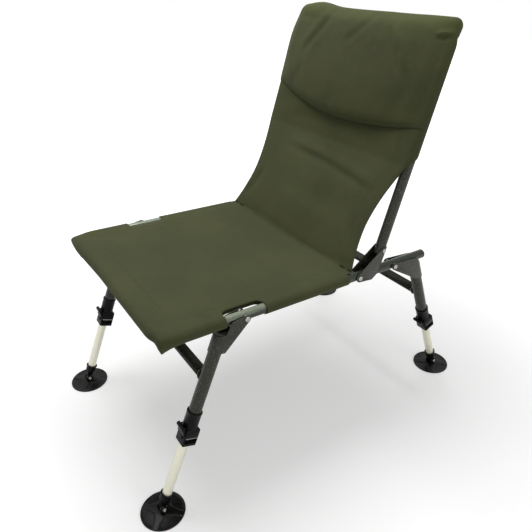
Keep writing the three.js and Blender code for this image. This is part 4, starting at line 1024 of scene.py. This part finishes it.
class Sheet:
    # the cloth's points and faces, with the maps that its material reads
    def __init__(self):
        self.points, self.maps, self.faces = [], [], []

    def row(self, points):
        # each point: its place, its place on the flat cloth, and the seam values
        first = len(self.points)
        for place, flat, seams in points:
            self.points.append(place)
            self.maps.append((flat, seams))
        return list(range(first, len(self.points)))

    def fill(self, rows, skip=None):
        for number, (low, high) in enumerate(zip(rows, rows[1:])):
            for column in range(len(low) - 1):
                if skip is None or not skip(number, column):
                    self.faces.append((low[column], low[column + 1], high[column + 1], high[column]))

    def make(self, name):
        piece = meshPiece(name, self.points, self.faces)
        layer = piece.data.uv_layers.new(name="clothMap")
        for loop in piece.data.loops:
            layer.data[loop.index].uv = millimetres(*self.maps[loop.vertex_index][0])
        for key in ("tunnelSeam", "tunnelSeamRun", "joinSeam", "joinSeamRun", "hemSeam", "hemSeamRun"):
            values = piece.data.attributes.new(key, "FLOAT", "POINT")
            for index, (flat, seams) in enumerate(self.maps):
                values.data[index].value = seams.get(key, cover["far"]) * mm
        return piece


def bump(value, width):
    return math.exp(-(value / width) ** 2)


def inset(value, limit, run):
    # 0 from the limit outwards and 1 from a run inside it
    return held((limit - value) / run)


def fold(x, y, line, width, depth, ridge=0.5, side=1):
    # a valley along a line of points with a softer ridge on one side; it dies out at its ends
    best, run = None, 0
    total = sum(math.dist(a, b) for a, b in zip(line, line[1:]))
    for (ax, ay), (bx, by) in zip(line, line[1:]):
        length = math.dist((ax, ay), (bx, by))
        share = held(((x - ax) * (bx - ax) + (y - ay) * (by - ay)) / length ** 2)
        distance = math.hypot(x - ax - share * (bx - ax), y - ay - share * (by - ay))
        if best is None or distance < best[0]:
            cross = (bx - ax) * (y - ay) - (by - ay) * (x - ax)
            best = (distance, math.copysign(1, cross), (run + share * length) / total)
        run += length
    distance, sign, along = best
    ends = held(relief["endRate"] * min(along, 1 - along)) ** relief["endPower"]
    rise = ridge * bump(distance * sign - side * relief["ridgeOff"] * width, relief["ridgeSpread"] * width)
    return ends * depth * (rise - bump(distance, width))


def folded(key, x, y):
    return sum(fold(x, y, *values) for values in relief[key]["folds"])


def ripple(x, y, size, seed):
    return noise.noise(Vector((x / size, y / size, seed)))


def rippled(key, x, y):
    return sum(height * ripple(x, stretch * y, size, seed)
               for height, stretch, size, seed in relief[key]["ripples"])


def calmed(key, x, end=None):
    # how far in from the cloth's calm margins a place is, 0..1
    share = inset(abs(x), *relief[key]["side"])
    return share if end is None else share * inset(end, *relief[key]["end"])


def seatRelief(x, reach):
    return calmed("seat", x, -reach) * rippled("seat", x, reach) + folded("seat", x, reach)


def webRelief(x, w, along):
    # the join's own valley and ridge, and the pull lines of the free cloth
    join, past = relief["join"], along - between(cover["join"], x)
    pucker = join["pucker"]
    lift = sum(height * bump(past - place, width) for height, place, width in join["bumps"])
    lift *= max(join["least"], calmed("join", x))
    lift += bump(past, pucker["width"]) * pucker["height"] * ripple(x, 0, pucker["size"], pucker["seed"])
    return lift + folded("web", x, w) + calmed("web", x) * rippled("web", x, w)


def backRelief(x, w):
    return calmed("back", x, -w) * (folded("back", x, w) + rippled("back", x, w))


def onSeat(x, reach, up):
    return railPlace @ Vector(millimetres(x, reach, up))


def onBack(x, height, up):
    return backPlace @ Vector(millimetres(x, -up, height))


def seatSeams(x, reach):
    return {"joinSeam": reach - between(cover["join"], x), "joinSeamRun": x}


def backSeams(x, w):
    return {"joinSeam": cover["joinFar"]}


def ringRows(tube, stations, place, shape, otherSeams):
    rows, run = [], 0.0
    for index, (point, outward, share) in enumerate(stations):
        if index:
            run += math.dist(point, stations[index - 1][0])
        row = []
        for column, (past, out, up) in enumerate(tube["profile"]):
            out, up, slide = shape(point, outward, share, column, out, up)
            x, y = point[0] + outward[0] * out, point[1] + outward[1] * out + slide
            flat = (point[0] + outward[0] * past, point[1] + outward[1] * past)
            seams = {"tunnelSeam": past + tube["fold"] - tube["seam"], "tunnelSeamRun": run}
            row.append((place(x, y, up), flat, {**seams, **otherSeams(x, y)}))
        rows.append(cloth.row(row))
    return rows


def panelSeams(tube, x, along, side, end):
    # the distance in from the nearest sewn edge, and the run along it
    inside, run = (side, along) if side < end else (end, x)
    return {"tunnelSeam": -tube["seam"] - inside, "tunnelSeamRun": run}


def cutDepth(reach):
    return min(reach - cover["cutFront"], cover["cutRear"] - reach)


def cutEdge(reach):
    # how far in the cut-out's edge stands at this reach, with its rounded corners
    deep, radius = cutDepth(reach), cover["cutRound"]
    if deep < 0:
        return cover["cutIn"] + radius * max(0, 1 + deep / cover["cutEase"])
    return cover["cutIn"] + radius - math.sqrt(radius ** 2 - max(0, radius - deep) ** 2)


def stretched(out, still, old, new):
    # what lies at still stays, and what lay at old moves to new
    return still + (out - still) * (new - still) / (old - still)


def seatShape(point, outward, share, column, out, up):
    side, onSide = 1 if point[0] > 0 else -1, abs(outward[0]) == 1
    radius, profile, slack = seatTube["radius"], seatTube["profile"], cover["slack"]
    facing = max(0, out / radius) if column > lastFlat else 0
    below = (1 - up / radius) / 2 if column > lastFlat else 0
    fade = held((out + cover["fadeRun"]) / cover["fadeRun"])
    if not onSide and side < 0:
        # the front tunnel is slack towards its left end, with a small kink where the pocket begins
        loose = slack["drop"] * held((slack["from"] - point[0]) / slack["run"]) * min(1, slack["turn"] * (share or 1))
        if share > slack["kinkShare"] or point[0] < slack["kinkFrom"] and not share:
            loose += slack["kink"]
        out, up = out + slack["out"] * loose * facing, up - loose * below * fade
    if share:
        # the cloth bridges the bent corner as a pocket that stands off the tube and droops
        pocket, turned = cover["pockets"][side], math.pi / 2 * share
        swell = (1 / max(math.cos(turned), math.sin(turned)) - 1) / (math.sqrt(2) - 1)
        swell *= eased((pocket["foreEnd"] - share) / pocket["foreRun"])
        facing = min(1, pocket["blunt"] * facing) ** pocket["point"]
        return out + pocket["reach"] * swell * facing, up - pocket["droop"] * swell * below * fade, 0
    edge = cutEdge(point[1])
    if onSide and column < lastFlat:
        out = stretched(out, -seatTube["fold"] if column <= edgeColumn else 0, profile[edgeColumn][1], edge)
    elif onSide and column >= arcEnd:
        first = profile[arcEnd][1]
        out = stretched(out, first if column <= underEdge else profile[-1][1], profile[underEdge][1],
                        min(edge, first - cover["cutLeast"]))
    if column < lastFlat:
        up = flatUp(seatTube, out)
        up += seatRelief(point[0] + outward[0] * out, point[1] + outward[1] * out) * min(1, -out / cover["lipRun"])
        if onSide and cutDepth(point[1]) > cover["lipFrom"]:
            up -= cover["lipDrop"] * max(0, 1 - abs(out - edge) / cover["lipRun"]) ** 2
    return out, up, 0


def backShape(point, outward, share, column, out, up):
    # the sleeves' open ends are cut at a slant, higher behind the posts
    near = max(0, 1 - (point[1] - cover["sleeveFoot"]) / cover["slantRun"])
    return out, up, cover["slant"] * near * held((column - lastFlat) / cover["slantColumns"])


for tube in (seatTube, backTube):
    tube["panel"] = tube["radius"] - cover["rise"]
    tube["profile"] = tunnelProfile(tube)
foreOut, foreIn, rearIn, rearOut = cover["cutFine"]
sideStops = [cover["panelEnd"]]
for points, step in (
    ((cover["panelEnd"], cover["tunnelEnd"], rearOut), cover["cell"]),
    ((rearOut, cover["cutRear"], rearIn), cover["fineCell"]),
    ((rearIn, foreIn), cover["cutCell"]),
    ((foreIn, cover["cutFront"], foreOut), cover["fineCell"]),
    ((foreOut, cornerY), cover["cell"]),
):
    sideStops += stops(points, step)[1:]
acrossShares = [2 * k / cover["panelColumns"] - 1 for k in range(cover["panelColumns"] + 1)]
cloth = Sheet()
seatStations = roundTheFrame(sideStops, lambda stop: chair["half"], (cornerX, cornerY), chair["railCorner"],
                             [cornerX * share for share in acrossShares], 1)


def cutAway(number, column):
    # the cut-outs for the front brackets, and what lies past the tunnels' rear ends
    (near, out, _), (far, farOut, _) = seatStations[number:number + 2]
    if abs(out[0]) != 1 or abs(farOut[0]) != 1:
        return False
    low, high = sorted((near[1], far[1]))
    if low >= cover["tunnelEnd"] - 0.1:
        return column >= lastFlat
    inCut = low >= cover["cutFront"] - 0.1 and high <= cover["cutRear"] + 0.1
    return inCut and edgeColumn <= column < underEdge


def seatSag(across, down):
    # deepest under the sitter, and drawn up again where the seat is joined to the back
    rise = math.sin(math.pi / 2 * min(1, down / cover["sagRun"]))
    end = max(0, (down - cover["sagRun"]) / (1 - cover["sagRun"]))
    return (cover["sag"] * rise - (cover["sag"] - cover["endSag"]) * end ** 2) * (1 - across ** 2)


cloth.fill(ringRows(seatTube, seatStations, onSeat, seatShape, seatSeams), cutAway)
panelRows = []
for reach in reversed(sideStops):
    row = []
    for share in acrossShares:
        x, front = cornerX * share, reach - cornerY
        side = cornerX - abs(x)
        up = seatTube["panel"] + seatRelief(x, reach)
        if min(side, front) >= 0.001:
            up -= seatSag(share, front / (cover["panelEnd"] - cornerY))
        seams = panelSeams(seatTube, x, reach, side, front)
        row.append((onSeat(x, reach, up), (x, reach), {**seams, **seatSeams(x, reach)}))
    panelRows.append(cloth.row(row))
cloth.fill(panelRows)


# The free cloth runs from the seat's last row up to the first row of the posts' sleeves
def backBow(share, up):
    return cover["bow"] * (1 - share ** 2) * math.cos(math.pi / 2 * held(up))


def symmetric(left, middle):
    return left + middle + [(-x, up) for x, up in reversed(left)]


toBack = backPlace.inverted() @ railPlace


def seatEnd(x, up):
    # a place on the seat's last row, as (behind, height) on the back
    place = toBack @ Vector(millimetres(x, cover["panelEnd"], up))
    return place.y / mm, place.z / mm


rootY, rootHeight = seatEnd(0, seatTube["panel"])
lipX = postX(cover["sleeveFoot"])
innerLip = lipX - backTube["fold"]
leftRoot = [(-chair["half"] - past, flatUp(seatTube, past)) for past in reversed(seatTube["columns"])]
leftLip = [(-lipX - out, front) for past, out, front in reversed(backTube["profile"][:lastFlat + 1])]
rootRow = symmetric(leftRoot[:-1], [(cornerX * share, seatTube["panel"] - seatSag(share, 1)) for share in acrossShares])
lipRow = symmetric(leftLip[:-1], [(innerLip * share, backTube["panel"] - backBow(share, 0)) for share in acrossShares])


def webHalf(height):
    if height > cover["waistHeight"]:
        share = (height - cover["waistHeight"]) / (cover["sleeveFoot"] - cover["waistHeight"])
        return cover["waist"] + (cover["lipHalf"] - cover["waist"]) * share ** cover["lipCurve"]
    share = (cover["waistHeight"] - height) / (cover["waistHeight"] - rootHeight)
    return cover["waist"] + (cover["rootHalf"] - cover["waist"]) * share ** cover["rootCurve"]


webLength = math.dist((rootY, rootHeight), (-backTube["radius"], cover["sleeveFoot"]))
webCount = round(webLength / cover["cell"])
webRows = []
for step in range(webCount + 1):
    up = step / webCount
    height, along = rootHeight + (cover["sleeveFoot"] - rootHeight) * up, cover["panelEnd"] + webLength * up
    half, keep = webHalf(height), max(0, 1 - up / cover["dropRun"])
    calm = (math.sin(math.pi / 2 * min(1, relief["web"]["startRate"] * up))
            * math.sin(math.pi / 2 * min(1, relief["web"]["endRate"] * (1 - up))))
    row = []
    for (rootX, rootUp), (lip, lipFront) in zip(rootRow, lipRow):
        lift = seatRelief(rootX, cover["panelEnd"]) * inset(abs(rootX), chair["half"], cover["lipRun"])
        rootPlace = seatEnd(rootX, rootUp + lift)
        dropY, dropZ = (rootPlace[0] - rootY) * keep, (rootPlace[1] - rootHeight) * keep
        across = (rootX / cover["rootHalf"]) * (1 - up) + (lip / cover["lipHalf"]) * up
        x = across * half if 0 < step < webCount else (rootX, lip)[step > 0]
        share = max(-1, min(1, x / innerLip))
        edgeTurn = backTube["radius"] - lipFront - (backBow(share, 0) if abs(lip) <= innerLip + 0.01 else 0)
        y = rootY + (-backTube["radius"] - rootY) * up + backBow(share, 0) * up + edgeTurn * up ** 3
        y += dropY - webRelief(x, height + dropZ, along) * calm
        seams = {**seatSeams(x, along), "hemSeam": half - abs(x), "hemSeamRun": along}
        row.append((backPlace @ Vector(millimetres(x, y, height + dropZ)), (x, along), seams))
    webRows.append(cloth.row(row))
cloth.fill(webRows)


# The back's sleeves and top tunnel, and the cloth between them
backStops = stops([cover["sleeveFoot"], bendFoot], cover["cell"])
backStations = roundTheFrame(backStops, postX, (bendX, bendFoot), chair["backCorner"],
                             [bendX * share for share in acrossShares], -1)
cloth.fill(ringRows(backTube, backStations, onBack, backShape, backSeams))
panelRows = []
for w in backStops:
    up, inner = (w - cover["sleeveFoot"]) / (bendFoot - cover["sleeveFoot"]), postX(w) - backTube["fold"]
    row = []
    for share in acrossShares:
        x = inner * share
        front = backTube["panel"] - backBow(share, up) + backRelief(x, w)
        seams = panelSeams(backTube, x, w, inner - abs(x), bendFoot - w)
        row.append((onBack(x, w, front), (x, cover["panelEnd"] + webLength + w), {**seams, **backSeams(x, w)}))
    panelRows.append(cloth.row(row))
cloth.fill(panelRows)

chairCover = cloth.make("oliveSlingCover")
weld(chairCover, 0.0002)
coverArea = sum(face.area for face in chairCover.data.polygons)
modify(chairCover, "SOLIDIFY", thickness=cover["thickness"] * mm, offset=0)
chairCover.data.shade_smooth()
chairCover.data.materials.append(coverCloth)
print("cover made,", len(chairCover.data.polygons), "faces,", round(coverArea, 3), "square metres")


# Head pad: a foam cushion sewn to the upper back, whose top rolls over the top tunnel.
# front and behind are its two layers' profiles as (behind the back's plane, above its foot).
pad = {
    "columns": 104, "rows": 70, "foot": 285, "sideShare": 0.86, "sideLoose": 2.6, "looseRate": 1.04, "reach": 13.5,
    "seamLow": 277.3, "seamMiddle": 10, "seamRise": {-1: 0.00078, 1: 0.00049}, "seamDrop": 4,
    "front": [(-13.6, 0), (-16.5, 2), (-20.5, 10), (-25, 32), (-30, 70), (-32.5, 115), (-31.5, 155), (-29, 180),
              (-25.5, 197), (-18.5, 210), (-8, 218.5), (4, 220.5), (13, 215), (17.4, 205), (17.2, 196)],
    "behind": [(-13.4, 0.5), (-13.4, 3), (-13.4, 10), (-13.4, 32), (-13.4, 70), (-13.4, 115), (-13.4, 155),
               (-13.4, 178), (-13.4, 190), (-12.8, 203), (-7, 214), (2, 218), (10, 214), (14.6, 206), (15, 196)],
    # how the sides draw in towards the top: (amount, from, run, power), and the swelling at the top left
    "narrow": {-1: (22, 430, 75, 1.6), 1: (3, 470, 30, 1)}, "postEnd": 500,
    "swell": {"rise": 8, "half": 232, "middle": 150, "width": 52, "from": 474, "run": 32},
    "crownPowers": (4, 0.8), "pressure": 4, "frames": 20, "cap": 5, "sewn": 14, "freeRun": 8,
    "creaseFrom": 14.2, "creaseRun": 5, "rear": {"y": -14, "w": 484, "x": 228},
}


def smoothLine(points, share):
    # a point at a share of the list, with a soft bend at each listed point
    place = share * (len(points) - 1)
    index = min(len(points) - 2, int(place))
    part = place - index
    before, low = points[max(0, index - 1)], points[index]
    high, after = points[index + 1], points[min(len(points) - 1, index + 2)]
    return [b + 0.5 * part * (c - a + part * (2 * a - 5 * b + 4 * c - d + part * (3 * (b - c) + d - a)))
            for a, b, c, d in zip(before, low, high, after)]


def seamHeight(x):
    # the lower seam hangs in a shallow curve that climbs more on the left
    past = x - pad["seamMiddle"]
    return pad["seamLow"] + pad["seamRise"][1 if past > 0 else -1] * past ** 2


def padPoint(across, up, layer):
    # across -1..1, up 0..1 along the profile. Both layers roll round the posts and meet on their outer side;
    # distances are taken from the posts' and the top bar's axis
    y, rise = smoothLine(pad["front"] if layer else pad["behind"], up)
    straight = min(1, abs(across) / pad["sideShare"])
    turn = math.pi / 2 * max(0, abs(across) - pad["sideShare"]) / (1 - pad["sideShare"])
    low = seamHeight(math.copysign(straight, across) * chair["half"])
    span = chair["backTop"] - pad["foot"]
    w = low + rise * (chair["backTop"] - low) / span if rise < span else pad["foot"] + rise
    axis = min(w, chair["backTop"])
    off = Vector((y, w - axis))
    reach = pad["reach"]
    if layer:
        reach += pad["sideLoose"] * math.sin(math.pi * min(1, max(0, up) * pad["looseRate"])) ** 0.5
    inner, outer = pad["crownPowers"]
    crown = (1 - straight ** inner) ** outer
    length = off.length * crown + min(off.length, reach) * (1 - crown)
    if across < 0 and layer:
        swell = pad["swell"]
        length += (swell["rise"] * bump(across * swell["half"] + swell["middle"], swell["width"])
                   * held((w - swell["from"]) / swell["run"]))
    off = off.normalized() * length * math.cos(turn)
    amount, start, run, power = pad["narrow"][1 if across > 0 else -1]
    x = postX(min(w, pad["postEnd"])) - amount * max(0, (w - start) / run) ** power
    return Vector((math.copysign(x * straight + reach * math.sin(turn), across), off.x, axis + off.y))


def padMesh(name):
    points, faces = [], []
    for layer in (1, 0):
        grid = []
        for row in range(pad["rows"] + 1):
            grid.append(range(len(points), len(points) + pad["columns"] + 1))
            points += [padPoint(2 * column / pad["columns"] - 1, row / pad["rows"], layer) * mm
                       for column in range(pad["columns"] + 1)]
        for low, high in zip(grid, grid[1:]):
            for column in range(pad["columns"]):
                corners = (low[column], low[column + 1], high[column + 1], high[column])
                faces.append(corners if layer else corners[::-1])
    return meshPiece(name, points, faces)


def fromFrame(place):
    # how a point stands off the axis of the posts or the top bar, in millimetres
    x, y, w = place
    return Vector((x - max(-postX(w), min(postX(w), x)), y, w - min(w, chair["backTop"])))


def swollen(piece):
    # the foam presses the cloth out: a short cloth run with its travel capped
    rest = [vertex.co.copy() for vertex in piece.data.vertices]
    modifier = piece.modifiers.new("swell", "CLOTH")
    modifier.settings.use_pressure = True
    modifier.settings.uniform_pressure_force = pad["pressure"]
    modifier.settings.effector_weights.gravity = 0
    modifier.settings.quality = 5
    modifier.point_cache.frame_start = 1
    modifier.point_cache.frame_end = pad["frames"]
    for number in range(1, pad["frames"] + 1):
        scene.frame_set(number)
    pick(piece)
    bpy.ops.object.modifier_apply(modifier="swell")
    scene.frame_set(1)
    for vertex, place in zip(piece.data.vertices, rest):
        moved = vertex.co - place
        if moved.length > pad["cap"] * mm:
            moved *= pad["cap"] * mm / moved.length
        vertex.co = place + moved * held((fromFrame(place / mm).length - pad["sewn"]) / pad["freeRun"])
    modify(piece, "SUBSURF", levels=1, render_levels=1)


headPad = padMesh("headPad")
weld(headPad, 0.0001)
swollen(headPad)
for vertex in headPad.data.vertices:
    x, y, w = vertex.co / mm
    off, rear = fromFrame((x, y, w)), pad["rear"]
    if off.length < pad["creaseFrom"] or (y > rear["y"] and w < rear["w"] and abs(x) < rear["x"]):
        continue
    lift = folded("pad", x, w) + rippled("pad", x, w) - bump(w - seamHeight(x) - pad["seamDrop"], pad["seamDrop"])
    vertex.co += off.normalized() * lift * min(1, (off.length - pad["reach"]) / pad["creaseRun"]) * mm
settle(headPad, backPlace)
headPad.data.shade_smooth()
headPad.data.materials.append(padCloth)
print("head pad made,", len(headPad.data.polygons), "faces")

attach(headPad, "back")
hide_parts("head_pad")
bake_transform(chairCover)
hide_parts("seat_sling", "sling_junction", "back_sling")


# Stage: pale floor, white surroundings, soft light from above and from the right, and the photograph's camera
studio = {
    "floor": 14.0, "ambient": 0.31, "nearFloor": (0.36, 0.36, 0.36, 1), "fall": (0.5, 1.8), "aim": (0, 0, 0.4),
    "lens": 35.136, "place": (0.890491, -0.595416, 0.947129),
    "turn": 55.73, "down": 29.959, "roll": -0.096, "shift": (-0.0016, -0.0016),
    "lamps": {"topLamp": ((-0.55, -0.1, 2.3), 1.3, 29.5), "sideLamp": ((2.3, 0.45, 1.1), 1.2, 9)},
}
clearSelection()
bpy.ops.mesh.primitive_plane_add(size=studio["floor"], location=(0, 0, 0))
floor = newest("studioFloor")
board = newMaterial("paleFloor")
path = board.node("LightPath").outputs
seen = board.larger(path["Is Camera Ray"], path["Is Glossy Ray"])
apart = board.node("VectorMath", {0: board.place()}, operation="LENGTH").outputs["Value"]
far = board.blend(board.ramp(apart, *studio["fall"]), studio["nearFloor"], (1, 1, 1, 1))
board.put(board.shader, {
    "Base Color": (0.86, 0.86, 0.86, 1), "Roughness": 0.9, "Specular IOR Level": 0.1, "Emission Strength": 1.0,
    "Emission Color": board.blend(seen, (0, 0, 0, 1), far),  # the light falls off outwards
})
floor.data.materials.append(board.material)

world = bpy.data.worlds.new("studioAir")
world.use_nodes = True
scene.world = world
board = Board(world.node_tree)
path = board.node("LightPath").outputs
seen = board.larger(board.larger(path["Is Camera Ray"], path["Is Transmission Ray"]), path["Is Glossy Ray"])
background = board.node("Background", {
    "Color": (1, 1, 1, 1), "Strength": board.ramp(seen, 0.0, 1.0, studio["ambient"], 1.0)})
board.node("OutputWorld", {"Surface": background.outputs["Background"]})


def softLamp(name, place, size, power):
    light = bpy.data.lights.new(name, "AREA")
    light.shape = "SQUARE"
    light.size = size
    light.energy = power
    lamp = linked(name, light)
    facing = (Vector(studio["aim"]) - Vector(place)).to_track_quat("-Z", "Y").to_matrix().to_4x4()
    lamp.matrix_world = Matrix.Translation(place) @ facing
    return lamp


lamps = [softLamp(name, *values) for name, values in studio["lamps"].items()]
turn, down, roll = (math.radians(studio[key]) for key in ("turn", "down", "roll"))
ahead = Vector((-math.sin(turn) * math.cos(down), math.cos(turn) * math.cos(down), -math.sin(down)))
level = Vector((math.cos(turn), math.sin(turn), 0))
upward = level.cross(ahead)
right = math.cos(roll) * level + math.sin(roll) * upward
upright = math.cos(roll) * upward - math.sin(roll) * level
lens = bpy.data.cameras.new("photoCamera")
lens.lens = studio["lens"]
lens.sensor_width = 36
lens.shift_x, lens.shift_y = studio["shift"]
lens.clip_start = 0.05
camera = linked("photoCamera", lens)
camera.matrix_world = Matrix.Translation(studio["place"]) @ Matrix((right, upright, -ahead)).transposed().to_4x4()
scene.camera = camera
print("stage set")
